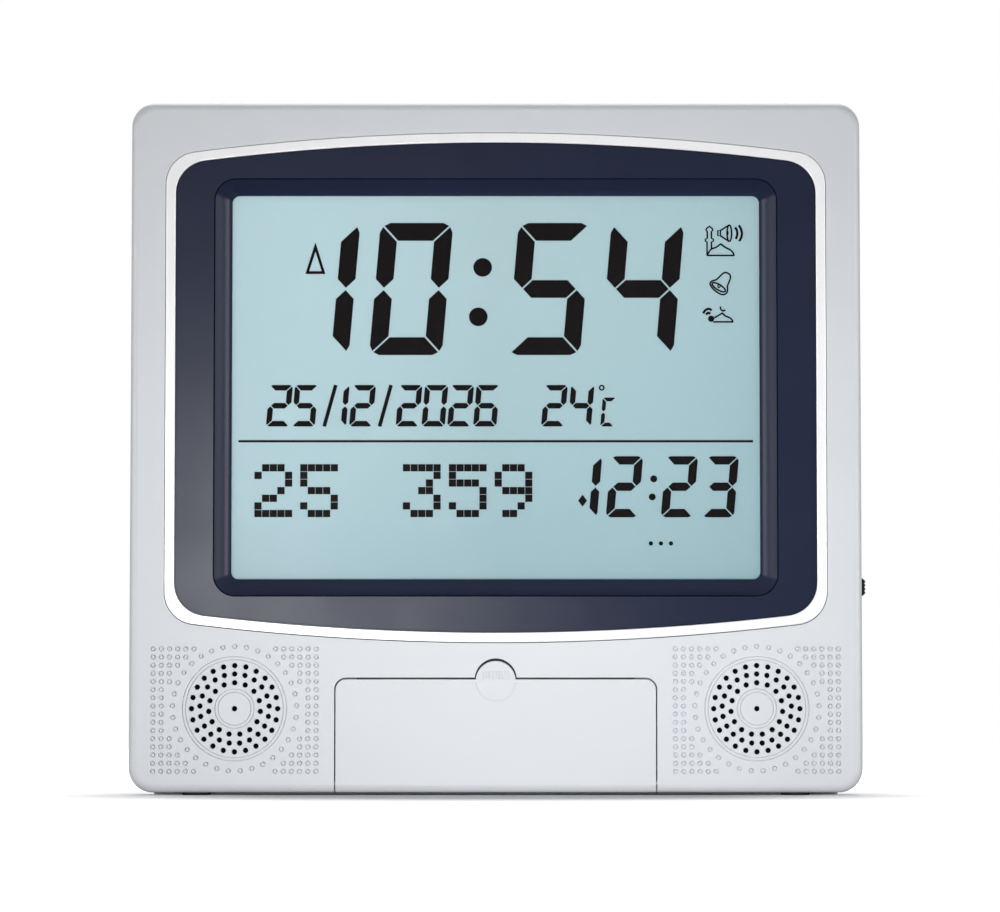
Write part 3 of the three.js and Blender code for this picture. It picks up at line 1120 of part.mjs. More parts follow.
// Slide switch knob: a sloped end outside, a neck through the wall and a flange inside it.
function sideSwitchKnob() {
  const outerX = SIDE_X + KNOB_PROUD;
  const flangeX = SIDE_INSIDE_X - FIT_GAP;
  const halfY = KNOB_WIDTH / 2;
  const halfZ = KNOB_LENGTH / 2;
  const neck = block(
    flangeX - KNOB_FLANGE_SHEET, SIDE_X, KNOB_Y - halfY, KNOB_Y + halfY, KNOB_Z - halfZ, KNOB_Z + halfZ,
  );
  const cap = slopedKnobEnd(outerX, halfY, halfZ);
  const flange = block(
    flangeX - KNOB_FLANGE_SHEET, flangeX, KNOB_Y - halfY - KNOB_FLANGE, KNOB_Y + halfY + KNOB_FLANGE,
    KNOB_Z - halfZ - KNOB_FLANGE, KNOB_Z + halfZ + KNOB_FLANGE,
  );
  return join([neck, cap, flange]);
}

// The knob's visible end, with its upper and lower corners sloped off.
function slopedKnobEnd(outerX, halfY, halfZ) {
  const slope = KNOB_PROUD / 2;
  const outline = [
    new THREE.Vector2(SIDE_X - OVERRUN, KNOB_Z - halfZ),
    new THREE.Vector2(outerX - slope, KNOB_Z - halfZ),
    new THREE.Vector2(outerX, KNOB_Z - halfZ + slope),
    new THREE.Vector2(outerX, KNOB_Z + halfZ - slope),
    new THREE.Vector2(outerX - slope, KNOB_Z + halfZ),
    new THREE.Vector2(SIDE_X - OVERRUN, KNOB_Z + halfZ),
  ];
  return plate(outline, KNOB_Y - halfY, KNOB_Y + halfY);
}

// Slide switch behind the side wall, standing on two ears above and below the knob's travel.
function sideSwitchBody() {
  const backX = SIDE_INSIDE_X - FIT_GAP - KNOB_FLANGE_SHEET - FIT_GAP;
  const lowZ = KNOB_Z - KNOB_LENGTH / 2 - KNOB_FLANGE - FIT_GAP;
  const highZ = KNOB_Z + KNOB_LENGTH / 2 + KNOB_TRAVEL + KNOB_FLANGE + FIT_GAP;
  const y0 = KNOB_Y - SWITCH_WIDTH / 2;
  const y1 = KNOB_Y + SWITCH_WIDTH / 2;
  return join([
    block(backX - SWITCH_DEPTH, backX, y0, y1, lowZ - SWITCH_EAR, highZ + SWITCH_EAR),
    block(backX - SWITCH_DEPTH, SIDE_INSIDE_X, y0, y1, lowZ - SWITCH_EAR, lowZ),
    block(backX - SWITCH_DEPTH, SIDE_INSIDE_X, y0, y1, highZ, highZ + SWITCH_EAR),
  ]);
}

// Places of the feet under the front and the back shell.
function footPlaces() {
  const x = SIDE_X - FOOT_SIDE_INSET;
  return [FRONT_Y + 2 * FOOT_RADIUS, (PARTING_Y + BACK_Y) / 2].flatMap((y) => [[-x, y], [x, y]]);
}

// Round pad under the case.
function rubberFoot([x, y]) {
  return rodZ(x, y, FOOT_RADIUS, 0, FOOT_HEIGHT, 16);
}

// Lead from a speaker up to the main board.
function speakerWire(x) {
  const startY = speakerBasketY + FIT_GAP + WIRE_RADIUS;
  const endY = BOARD_BACK_Y + FIT_GAP + WIRE_RADIUS;
  const startZ = SPEAKER_Z + speakerNeck + 3 * WIRE_RADIUS;
  const rise = BOARD_BASE_Z - startZ;
  return tube([
    [x, startY, startZ],
    [x, (startY + endY) / 2 + WIRE_RADIUS, startZ + rise / 3],
    [x, endY + WIRE_RADIUS, startZ + 2 * rise / 3],
    [x, endY, BOARD_BASE_Z + 2 * WIRE_RADIUS],
    [x, endY, BOARD_BASE_Z + CONTACT_LEDGE],
  ], WIRE_RADIUS);
}

// Twin lead from the battery box down to the main board.
function batteryLead() {
  const topZ = BATTERY_Z - BATTERY_BOX_HALF_HEIGHT - BATTERY_BOX_WALL - FIT_GAP;
  const boardY = BOARD_BACK_Y + FIT_GAP + WIRE_RADIUS;
  const boxY = BATTERY_FLOOR_Y + 2 * WIRE_RADIUS;
  const drop = topZ - BOARD_TOP_Z;
  return join([-1, 1].map((side) => {
    const x = BATTERY_BOX_HALF_WIDTH - BATTERY_END_SPACE + side * WIRE_RADIUS * TWIN_LEAD_SPREAD_SHARE;
    return tube([
      [x, boxY, topZ],
      [x, boxY, topZ - drop / 3],
      [x, boardY + WIRE_RADIUS, BOARD_TOP_Z],
      [x, boardY, BOARD_TOP_Z - 2 * CONTACT_LEDGE],
    ], WIRE_RADIUS);
  }));
}

// Outlines of one digit's lit segments. x is the digit's left edge at its middle height.
function digitOutlines(row, character, x) {
  const height = WINDOW_HEIGHT * row.heightShare;
  const width = WINDOW_WIDTH * row.widthShare;
  const stroke = height * row.strokeShare;
  const gap = height * row.jointShare / Math.SQRT2;
  const round = SEGMENT_ROUND_SHARE * stroke;
  const cutIn = round * (1 - Math.SQRT1_2);
  const half = height / 2;
  const top = [
    [round, half], [width - round, half], [width - cutIn - gap, half - cutIn],
    [width - stroke - gap, half - stroke], [stroke + gap, half - stroke], [cutIn + gap, half - cutIn],
  ];
  const upperLeft = [
    [0, half - round], [cutIn, half - cutIn - gap], [stroke, half - stroke - gap],
    [stroke, stroke / 2 + gap], [stroke / 2, gap], [0, stroke / 2 + gap],
  ];
  const middle = [
    [stroke / 2 + gap, 0], [stroke + gap, stroke / 2], [width - stroke - gap, stroke / 2],
    [width - stroke / 2 - gap, 0], [width - stroke - gap, -stroke / 2], [stroke + gap, -stroke / 2],
  ];
  const flipX = (points) => points.map(([px, pz]) => [width - px, pz]);
  const flipZ = (points) => points.map(([px, pz]) => [px, -pz]);
  const segments = {
    a: top,
    b: flipX(upperLeft),
    c: flipZ(flipX(upperLeft)),
    d: flipZ(top),
    e: flipZ(upperLeft),
    f: upperLeft,
    g: middle,
  };
  const middleZ = WINDOW_Z + WINDOW_HEIGHT * row.middleShare;
  return [...DIGIT_SEGMENTS[character]].map((letter) => segments[letter].map(([px, pz]) => (
    new THREE.Vector2(x + px + ARTWORK_SLANT * pz, middleZ + pz)
  )));
}

// An inked area lies on the front of the glass. Its points may run either way round.
function ink(points) {
  const ordered = THREE.ShapeUtils.isClockWise(points) ? points.slice().reverse() : points;
  return plate(ordered, INK_FRONT_Y, INK_ROOT_Y);
}

// A round inked area.
function inkDisc(x, z, radius) {
  return rodY(x, z, radius, INK_FRONT_Y, INK_ROOT_Y, 16);
}

// One row of segment digits.
function digitRow(row, digitShares) {
  return Object.entries(digitShares).flatMap(([character, shares]) => shares.flatMap((share) => (
    digitOutlines(row, character, WINDOW_WIDTH * share).map(ink)
  )));
}

// The two dots between hours and minutes.
function colon(row, { xShare, spreadShare, radiusShare }) {
  const middleZ = WINDOW_Z + WINDOW_HEIGHT * (row.middleShare - radiusShare / 3);
  const rise = WINDOW_HEIGHT * spreadShare;
  const x = WINDOW_WIDTH * xShare;
  const radius = WINDOW_HEIGHT * radiusShare;
  return [1, -1].map((side) => inkDisc(x + ARTWORK_SLANT * side * rise, middleZ + side * rise, radius));
}

// The slanted strokes of the date.
function slashes() {
  const half = WINDOW_HEIGHT * DATE_ROW.heightShare / 2;
  const middleZ = WINDOW_Z + WINDOW_HEIGHT * DATE_ROW.middleShare;
  const halfStroke = WINDOW_WIDTH * SLASH_STROKE_SHARE / 2;
  const lean = SLASH_LEAN * half;
  return SLASH_SHARES.map((share) => {
    const x = WINDOW_WIDTH * share;
    return ink([
      new THREE.Vector2(x - lean - halfStroke, middleZ - half),
      new THREE.Vector2(x - lean + halfStroke, middleZ - half),
      new THREE.Vector2(x + lean + halfStroke, middleZ + half),
      new THREE.Vector2(x + lean - halfStroke, middleZ + half),
    ]);
  });
}

// The small ring of the temperature's degree sign.
function degreeRing() {
  const { xShare, zShare, radiusShare, boreShare } = DEGREE_RING;
  const x = WINDOW_WIDTH * xShare;
  const z = WINDOW_Z + WINDOW_HEIGHT * zShare;
  const bore = rodY(x, z, WINDOW_HEIGHT * boreShare, INK_FRONT_Y - OVERRUN, INK_ROOT_Y + OVERRUN, 12);
  return inkDisc(x, z, WINDOW_HEIGHT * radiusShare).subtract(bore);
}

// The line across the display, above the matrix.
function ruleLine() {
  const z = WINDOW_Z + WINDOW_HEIGHT * RULE_LINE.zShare;
  const halfThickness = WINDOW_HEIGHT * RULE_LINE.thicknessShare / 2;
  return block(
    WINDOW_WIDTH * RULE_LINE.leftShare, WINDOW_WIDTH * RULE_LINE.rightShare,
    INK_FRONT_Y, INK_ROOT_Y, z - halfThickness, z + halfThickness,
  );
}

// Dots that touch in a row of the matrix make one bar.
function matrixDots() {
  const pitch = WINDOW_WIDTH * MATRIX_PITCH_SHARE;
  const dot = pitch * MATRIX_DOT_SHARE;
  const topZ = WINDOW_Z + WINDOW_HEIGHT * MATRIX_TOP_SHARE;
  return MATRIX_DIGITS.flatMap((rows, digit) => rows.flatMap((line, row) => (
    [...line.matchAll(/#+/g)].map((run) => {
      const x = WINDOW_WIDTH * MATRIX_LEFT_SHARES[digit] + run.index * pitch;
      const z = topZ - row * pitch;
      const length = (run[0].length - 1) * pitch + dot;
      return block(x, x + length, INK_FRONT_Y, INK_ROOT_Y, z - pitch, z);
    })
  )));
}

place('front_case', frontCase(), SILVER_PLASTIC());
place('back_case', backCase(), SILVER_PLASTIC());
place('trim_ring', trimRing(), WHITE_GLOSS());
place('bezel', bezel(), NAVY_PLASTIC());
place('window_lens', windowLens(), CLEAR_PLASTIC());
place('display_front_glass', displayFrontGlass(), DISPLAY_GLASS());
place('display_rear_glass', displayRearGlass(), DISPLAY_GLASS());
place('display_holder', displayHolder(), BLACK_PLASTIC());
place('zebra_strip', zebraStrip(), BLACK_RUBBER());
place('main_board', mainBoard(), BOARD_GREEN());
place('clock_chip', boardChip(-3 * CHIP_SIZE), BLACK_PLASTIC());
place('sound_chip', boardChip(3 * CHIP_SIZE), BLACK_PLASTIC());
place('quartz_crystal', quartzCrystal(), STEEL());
place('capacitor_1', capacitor(-2 * CAPACITOR_RADIUS), BLACK_PLASTIC());
place('capacitor_2', capacitor(2 * CAPACITOR_RADIUS), BLACK_PLASTIC());
for (const [side, x] of [['left', -SPEAKER_X], ['right', SPEAKER_X]]) {
  place(`speaker_frame_${side}`, speakerFrame(x), STEEL());
  place(`speaker_cone_${side}`, speakerCone(x), CONE_PAPER());
  place(`speaker_magnet_${side}`, speakerMagnet(x), STEEL());
  place(`speaker_wire_${side}`, speakerWire(x), WIRE_JACKET());
}
place('front_door', frontDoor(), SILVER_PLASTIC());
place('door_catch', doorCatch(), STEEL());
buttonPlaces.forEach((spot, index) => place(`button_${index + 1}`, button(spot), GREY_PLASTIC()));
place('keypad_board', keypadBoard(), BOARD_GREEN());
keypadPostPlaces.forEach((spot, index) => {
  const length = BOARD_THICKNESS + SMALL_SCREW_BITE / 2;
  place(`keypad_screw_${index + 1}`, screw(spot, KEYPAD_BOARD_BACK_Y, length), STEEL());
});
place('battery_door', batteryDoor(), SILVER_PLASTIC());
for (let i = 0; i < BATTERY_COUNT; i += 1) {
  place(`battery_${i + 1}`, batteryCell(i), CELL_JACKET());
}
place('battery_contact_1', batteryContact(1, [0, 1]), STEEL());
place('battery_contact_2', batteryContact(1, [2]), STEEL());
place('battery_contact_3', batteryContact(-1, [0]), STEEL());
place('battery_contact_4', batteryContact(-1, [1, 2]), STEEL());
place('battery_lead', batteryLead(), WIRE_JACKET());
place('stand_leg', standLeg(), SILVER_PLASTIC());
place('side_switch_knob', sideSwitchKnob(), BLACK_PLASTIC());
place('side_switch_body', sideSwitchBody(), BLACK_PLASTIC());
bossPlaces.forEach((spot, index) => {
  const headY = BACK_Y - BOSS_SINK;
  place(`case_screw_${index + 1}`, screw(spot, headY, headY - PARTING_Y + SCREW_BITE / 2), STEEL());
});
holderScrewPlaces.forEach((spot, index) => {
  const length = HOLDER_BACK_Y - LEDGE_BACK_Y + SMALL_SCREW_BITE / 2;
  place(`holder_screw_${index + 1}`, screw(spot, HOLDER_BACK_Y, length), STEEL());
});
footPlaces().forEach((spot, index) => {
  place(`rubber_foot_${index + 1}`, rubberFoot(spot), BLACK_RUBBER());
});

export default part;
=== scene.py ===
import json
import math

import bmesh
import bpy
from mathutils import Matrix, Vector, geometry


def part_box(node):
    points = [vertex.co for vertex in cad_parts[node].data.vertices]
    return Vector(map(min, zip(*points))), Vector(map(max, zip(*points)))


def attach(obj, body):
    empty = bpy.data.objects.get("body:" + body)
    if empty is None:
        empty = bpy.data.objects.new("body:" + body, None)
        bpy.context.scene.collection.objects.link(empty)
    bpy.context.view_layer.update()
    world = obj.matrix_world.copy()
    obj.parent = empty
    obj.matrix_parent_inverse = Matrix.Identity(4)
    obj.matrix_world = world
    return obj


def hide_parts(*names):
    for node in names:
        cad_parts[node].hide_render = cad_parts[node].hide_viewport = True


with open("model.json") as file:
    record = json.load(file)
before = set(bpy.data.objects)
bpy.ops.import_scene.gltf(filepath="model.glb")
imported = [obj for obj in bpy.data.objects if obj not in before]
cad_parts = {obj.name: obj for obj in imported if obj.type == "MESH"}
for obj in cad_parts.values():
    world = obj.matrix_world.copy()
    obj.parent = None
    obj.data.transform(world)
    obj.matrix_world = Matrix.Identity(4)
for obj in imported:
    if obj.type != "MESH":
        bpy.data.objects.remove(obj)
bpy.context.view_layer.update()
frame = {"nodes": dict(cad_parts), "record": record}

# Everything is in metres. +X is the clock's right side as the camera sees it, and -Y is its front.

# Sizes taken from the frame
BACK_LOW, BACK_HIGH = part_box("back_case")
TRIM_LOW, TRIM_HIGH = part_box("trim_ring")
BEZEL_LOW, BEZEL_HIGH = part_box("bezel")
GLASS_LOW, GLASS_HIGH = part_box("display_front_glass")
COVER_LOW, COVER_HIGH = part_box("battery_door")
LEG_LOW, LEG_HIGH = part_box("stand_leg")
KNOB_LOW, KNOB_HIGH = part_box("side_switch_knob")
SCREW_LOW, SCREW_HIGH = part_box("case_screw_4")

CASE_HALF_WIDTH = BACK_HIGH[0]
CASE_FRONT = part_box("front_case")[0][1]
CASE_BACK = BACK_HIGH[1]
CASE_BOTTOM = BACK_LOW[2]
CASE_TOP = BACK_HIGH[2]
DOOR_PIN_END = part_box("front_door")[1][0]

# Gaps: round parts that move or fit in others, and the finest ones, which only keep faces apart
FIT_GAP = 0.0003
HAIR_GAP = 0.00005
SLIVER = 0.000018

# Case
CASE_CORNER_RADIUS = 0.0083
CASE_EDGE_RADIUS = 0.003
CASE_WALL = 0.0022
PARTING = 0.004
PARTING_GROOVE = 0.00025
RIM_ROUNDING = 0.00018
DENT_ROUNDING = 0.00008
WELL_DEPTH = 0.003
WELL_RIM_ROUNDING = 0.000126
WELL_GAP = 0.0002
WELL_DROP = 0.00005
ROOM_WALL = 0.0014
BASE_RIB_OUTLINE = (0.1195, 0.00008, 0.0014)
BASE_RIB_DEPTHS = (0.0005, 0.0025)

# Trim band and bezel
TOP_ARCH_RADIUS = 0.820
BOTTOM_ARCH_RADIUS = 0.880
TRIM_CORNER_RADIUS = 0.0112
TRIM_BAND = 0.00335
TRIM_EDGE_RADIUS = 0.00035
# How far behind the band's face the black strip of painted shade in its gap sits
GAP_SHADE_DEPTH = 0.00135
BEZEL_CORNER_RADIUS = 0.0115
BEZEL_GAP = 0.00045
BEZEL_WALL = 0.0018
RECESS_GROOVE = 0.0004
RECESS_BORDER = 0.0057
RECESS_CORNER_RADIUS = 0.0073
RECESS_SLOPE_DEPTH = 0.0042
WINDOW_WIDTH = 0.1838
WINDOW_HEIGHT = 0.1335
WINDOW_CORNER_RADIUS = 0.0026
WINDOW_Z = 0.14155
WINDOW_LIP = 0.0005
WINDOW_RISE = 0.0004
# The recess's sloped wall: shares of the way to the window, and of the depth
SLOPE = ((0.0, 0.01), (0.25, 0.33), (0.5, 0.59), (0.75, 0.82), (1.0, 1.0))

# Speaker grilles
SPEAKER_X = 0.0903
SPEAKER_Z = 0.0299
GRILLE_HOLE_RADIUS = 0.00094
GRILLE_RINGS = ((0.0149, 24), (0.0120, 21), (0.00896, 15))
GROOVES = (0.0180, 0.0169, 0.0068, 0.0057)
GROOVE_WIDTH = 0.00032
GROOVE_DEPTH = 0.0006
GROOVE_STEPS = 96
# A channel's profile: shares of its width and of its depth
CHANNEL_PROFILE = ((0, 0), (0.15, 0.7), (0.35, 1), (0.65, 1), (0.85, 0.7), (1, 0))
DIMPLE_RADIUS = 0.00092
DIMPLE_CHANNEL = 0.00045
DIMPLE_DEPTH = 0.0009
DIMPLE_RING = (0.0215, 33)
DIMPLE_PITCH = 0.00282
DIMPLE_COLUMNS = 21
DIMPLE_ROWS = (6, 5, 4, 3, 3, 2, 2, 2, 2, 2, 2, 3, 3, 4, 5, 6)
DIMPLE_MIDDLE_Z = 0.0294

# Keypad door and the pocket behind it
DOOR_HALF_WIDTH = 0.0554
DOOR_TOP_Z = 0.0400
DOOR_CORNER_RADIUS = 0.00365
DOOR_THICKNESS = 0.002
DOOR_LIP_DEPTH = 0.004
DOOR_GAP = 0.00045
DOOR_TOP_GAP = 0.00065
POCKET_TOP_Z = DOOR_TOP_Z + DOOR_TOP_GAP
DOOR_TAB_Z = 0.0394
DOOR_TAB_RADIUS = 0.00693
TAB_LINE_ANGLES = (183, 357)
DOOR_GROOVE_WIDTH = 0.0004
DOOR_MARK_DEPTH = 0.0006
DOOR_EDGE_ROUNDING = 0.0001
DOOR_RIM_ROUNDING = 0.00006
DOOR_HINGE = (-0.0152, 0.0042)
DOOR_LUG_RADIUS = 0.0016
DOOR_LUG_LENGTH = 0.006
DOOR_PIN_RADIUS = 0.0009
DOOR_SWING_DEPTH = 0.0066
GRIP_RIBS = 9
GRIP_PITCH = 0.0011
GRIP_Z = 0.0415
GRIP_SIZE = (0.0005, 0.0027)
LATCH_WIDTH = 0.008
LATCH_HEIGHTS = (0.0370, 0.0386)
LATCH_DEPTHS = (-0.017, -0.0122)
NOTCH_RADIUS = 0.00727
NOTCH_Z = 0.0400
NOTCH_DEPTH = 0.005
# Width and set-back of the black strip of painted shade behind the door's gap
POCKET_SHADE_STRIP = 0.00035
POCKET_DEPTH = 0.011
POCKET_PANEL = 0.002
BUTTON_COLUMNS = (-0.033, -0.011, 0.011, 0.033)
BUTTON_ROWS = (0.028, 0.015)
BUTTON_WIDTH = 0.009
BUTTON_HEIGHT = 0.0055
BUTTON_CORNER_RADIUS = 0.0015
BUTTON_GAP = 0.0003
BUTTON_EDGE_RADIUS = 0.0006
BUTTON_FLANGE = 0.001
BUTTON_FLANGE_SHEET = 0.0008
BUTTON_STEM_RADIUS = 0.0015
BUTTON_MARK_RADIUS = 0.0011
BUTTON_MARKS = ((3, 1.0), (24, 1.0), (4, 1.0), (6, 1.0), (3, -1.0), (24, 0.5), (4, 0.6), (6, 0.6))

# Battery compartment
BATTERY_Z = (COVER_LOW[2] + COVER_HIGH[2]) / 2
BATTERY_Y = 0.00855
BATTERY_ROOM = (0.0292, 0.0225)
BATTERY_ROOM_FLOOR = 0.0011
BATTERY_PITCH = 0.0148
BATTERY_RADIUS = 0.00715
JACKET_SHEET = 0.00018
BATTERY_NUB = (0.0027, 0.001)
COVER_SHEET = 0.002
COVER_CORNER_RADIUS = 0.002
COVER_TAB = (0.007, 0.0202, 0.0222)
COVER_GRIP = (0.011, 0.0007)
COVER_GRIP_Z = (0.0095, 0.012, 0.0145, 0.017)
COVER_ARROW_Z = 0.0045
COVER_ARROW = ((3, -2), (0, 2.5), (-3, -2))
SCOOP_DEPTH = 0.0011
SCOOP_HEIGHT = 0.006
SPRING_WIRE = 0.00035
SPRING_RADII = (0.0031, 0.002)
SPRING_TURNS = 4
TURN_STEPS = 16
CONTACT_SHEET = 0.0004
# Each contact's number and side, and its cells, with True for a coil and False for a bump
CONTACTS = (
    (1, 1, ((1, False), (2, True))),
    (2, 1, ((3, False),)),
    (3, -1, ((1, True),)),
    (4, -1, ((2, False), (3, True))),
)

# Rear stand, keyholes and screw wells
LEG_HALF_WIDTH = 0.018
LEG_BASE = LEG_LOW[2]
LEG_FACES = (0.0146, 0.0172)
LEG_PIVOT = (0.0159, 0.113)
LEG_BARREL_RADIUS = 0.0016
LEG_PIN_RADIUS = 0.001
LEG_CORNER_RADIUS = 0.0035
LEG_NOTCH_RADIUS = 0.009
LEG_PANELS = (-0.0108, 0.0, 0.0108)
LEG_PANEL_HALF_WIDTH = 0.0043
LEG_PANEL_HEIGHTS = (0.021, 0.104)
LEG_PANEL_DEPTH = 0.0009
LEG_RECESS_FLOOR = 0.0138
LEG_RECESS_TOP = 0.1162
LEG_NOTCH_FLOOR = 0.0126
KEYHOLE_X = 0.080
KEYHOLE_Z = 0.211
KEYHOLE_ENTRY_RADIUS = 0.0048
KEYHOLE_SLOT_RADIUS = 0.0025
KEYHOLE_SLOT_LENGTH = 0.009
KEYHOLE_POCKET_DEPTH = 0.005
KEYHOLE_MARGIN = 0.0012
SCREW_PLACE = ((SCREW_LOW[0] + SCREW_HIGH[0]) / 2, (SCREW_LOW[2] + SCREW_HIGH[2]) / 2)
SCREW_HEAD_RADIUS = SCREW_HIGH[0] - SCREW_PLACE[0]
SCREW_HEAD_HEIGHT = 0.0018
SCREW_SHANK_RADIUS = 0.00125
SCREW_SEAT = SCREW_HIGH[1] - SCREW_HEAD_HEIGHT
SCREW_CROSS = (0.0014, 0.00028)
SCREW_CROSS_DEPTH = 0.0009

# Side knob and feet
KNOB_SLOPE = 0.00085
KNOB_FLANGE = 0.001
KNOB_TRAVEL = 0.0025
KNOB_GROOVES = (-0.0013, 0.0, 0.0013)
KNOB_GROOVE_DEPTH = 0.0004
KNOB_GROOVE_HALF_WIDTH = 0.00032
FOOT_ROUNDING = 0.0004

# Display panel and the ink on its front
PANEL_CORNER_RADIUS = 0.0006
PANEL_CHAMFER = 0.0002
INK_THICKNESS = 0.00015
INK_FRONT = GLASS_LOW[1]
GLASS_FRONT = INK_FRONT + INK_THICKNESS
INK_ROOT = GLASS_FRONT + INK_THICKNESS / 3

# Display artwork. Places and widths across it are shares of the window's width. Heights, radii and
# places up and down are shares of its height, and a row's stroke and joint of its digits' height.
ARTWORK_SLANT = 0.0865
SEGMENT_ROUND_SHARE = 0.55
TIME_ROW = {"height": 0.3468, "width": 0.1382, "stroke": 0.134, "joint": 0.0125, "middle": 0.2602}
DATE_ROW = {"height": 0.1086, "width": 0.0443, "stroke": 0.1325, "joint": 0.022, "middle": -0.0461}
UNIT_ROW = {"height": 0.0757, "width": 0.0257, "stroke": 0.131, "joint": 0.03, "middle": -0.0625}
ALARM_ROW = {"height": 0.1596, "width": 0.0612, "stroke": 0.137, "joint": 0.019, "middle": -0.258}
TIME_DIGITS = (("1", -0.4064), ("0", -0.2296), ("5", 0.0328), ("4", 0.2095))
DATE_DIGITS = (
    ("2", -0.4325), ("5", -0.3841), ("1", -0.3248), ("2", -0.2748), ("2", -0.1866), ("0", -0.1376),
    ("2", -0.0887), ("6", -0.0397), ("2", 0.0892), ("4", 0.1398),
)
UNIT_DIGITS = (("C", 0.2006),)
ALARM_DIGITS = (("1", 0.1358), ("2", 0.2133), ("2", 0.3175), ("3", 0.395))
TIME_COLON = {"x": -0.029, "spread": 0.065, "radius": 0.0244}
ALARM_COLON = {"x": 0.298, "spread": 0.0236, "radius": 0.009}
DEGREE_RING = {"x": 0.2012, "z": 0.001, "radius": 0.0077, "bore": 0.0037}
SLASHES = (-0.3145, -0.2095)
SLASH_STROKE = 0.007
SLASH_LEAN = 0.276
RULE_LINE = {"left": -0.488, "right": 0.488, "z": -0.1391, "thickness": 0.0058}
MATRIX_LEFTS = (-0.4576, -0.371, -0.1763, -0.0892, -0.0025)
MATRIX_TOP = -0.1985
MATRIX_PITCH = 0.01447
MATRIX_DOT = 0.94
MATRIX_DIGITS = (
    (".###.", "#...#", "....#", "...#.", ".##..", "#....", "#####"),
    ("#####", "#....", "#....", ".###.", "....#", "#...#", ".###."),
    ("#####", "....#", "...#.", "..##.", "....#", "#...#", ".###."),
    ("#####", "#....", "####.", "....#", "....#", "#...#", ".###."),
    (".###.", "#...#", "#...#", ".####", "....#", "...#.", ".##.."),
)
SEGMENTS = {
    "0": "abcdef", "1": "bc", "2": "abged", "3": "abgcd", "4": "fgbc", "5": "afgcd", "6": "afgedc",
    "C": "afed",
}

# Pictograms on the display, in millimetres, and from the window's centre
ICON_LINE = 0.56
WAVE_LINE = 0.82
CLAPPER_LINE = 0.448
TOWER = (
    (73.85, 46.5), (73.85, 51.2), (73.25, 51.6), (73.25, 52.2), (73.95, 52.55), (73.95, 54.95),
    (73.55, 55.3), (73.65, 55.9), (74.7, 56.75), (75.75, 55.9), (75.85, 55.3), (75.4, 54.95),
    (75.4, 52.55), (76.05, 52.2), (76.05, 51.6), (75.4, 51.2), (75.4, 48.9),
)
DOME = (
    (73.85, 46.5), (74.5, 47.7), (75.4, 48.75), (77.05, 49.4), (78.65, 50.55), (80.25, 49.35),
    (82.0, 48.45), (82.85, 47.55), (83.35, 46.5),
)
HORN_BOX = ((77.65, 53.4), (78.55, 53.4), (78.55, 55.25), (77.65, 55.25))
HORN_TOP = ((78.55, 55.25), (80.95, 56.8), (81.6, 57.2))
HORN_LOW = ((78.55, 53.4), (80.95, 51.85), (81.6, 51.4))
HORN_MOUTH = ((81.65, 54.3), (0.8, 2.85), 0)
HORN_THROAT = ((81.1, 54.4), (0.32, 0.8), 0)
HORN_WAVES = (
    ((83.65, 56.4), (84.25, 55.45), (84.45, 54.3), (84.3, 53.3), (83.95, 52.3)),
    ((84.95, 57.1), (85.7, 55.85), (86.05, 54.3), (85.8, 52.8), (85.1, 51.5)),
)
BELL = (
    (80.4, 40.5), (81.65, 39.9), (82.0, 38.75), (81.6, 37.4), (80.95, 35.8), (80.95, 34.35),
    (80.5, 33.2), (79.35, 32.75), (77.9, 33.25), (76.2, 34.5), (75.0, 36.1), (75.0, 37.0),
    (75.75, 37.6), (77.05, 38.0), (78.2, 39.05), (79.35, 40.15),
)
BELL_MOUTH = ((77.9, 35.35), (2.65, 0.95), -32)
BELL_CLAPPER = ((78.0, 35.8), (0.4, 0.58), -20)
SPEECH_BALL = ((75.2, 24.3), (1.1, 1.1), 0)
SPEECH_WAVES = (
    ((72.45, 26.15), (73.1, 27.2), (74.0, 27.7), (74.75, 27.65), (75.4, 27.25)),
    ((73.45, 25.7), (73.85, 26.2), (74.3, 26.35), (75.0, 26.05)),
)
SMALL_DOME = (
    (76.3, 24.65), (77.6, 25.35), (79.1, 26.3), (80.25, 25.25), (81.7, 24.65), (82.5, 23.85), (82.85, 23.2),
)
SMALL_DOME_END = (75.9, 23.2)
CRESCENT = ((78.5, 28.6), (78.55, 27.7), (79.15, 27.1), (79.75, 27.15), (80.15, 27.45))
DAY_MARK = ((-66.5, 40.0), (-59.5, 40.0), (-63.0, 51.1))
DAY_MARK_MIDDLE = (-63.0, 42.57)
DAY_MARK_HOLE = 0.62
NIGHT_MARK = ((28.7, -39.3), (30.25, -37.2), (31.8, -39.3), (30.25, -41.4))
NAME_DOTS = ((54.0, -54.2), (57.5, -54.2), (61.0, -54.2))
NAME_DOT_RADIUS = 0.75

CORNER_STEPS = 12
FILLET_STEPS = 8
HOLE_STEPS = 16
SPEAKER_HOLE_STEPS = 20
CELL_STEPS = 40
SQUARE = ((1, 1), (-1, 1), (-1, -1), (1, -1))
AXES = {"x": (1, 0, 2), "y": (0, 1, 2), "z": (0, 2, 1)}

# Finishes. The display's painted light runs from left to right, in its lowest line and in its highest: a
# painted highlight on the left, and painted light at the top against the recess's shade.
MOTTLE_SCALE = 38
GLOSS_SPREAD = 0.06
GRAIN_DEPTH = 0.0003
DISPLAY_PAINTED_LIGHT = (
    ((170, 201, 210), (151, 183, 191), (155, 188, 196)),
    ((209, 243, 250), (191, 222, 227), (187, 220, 227)),
)

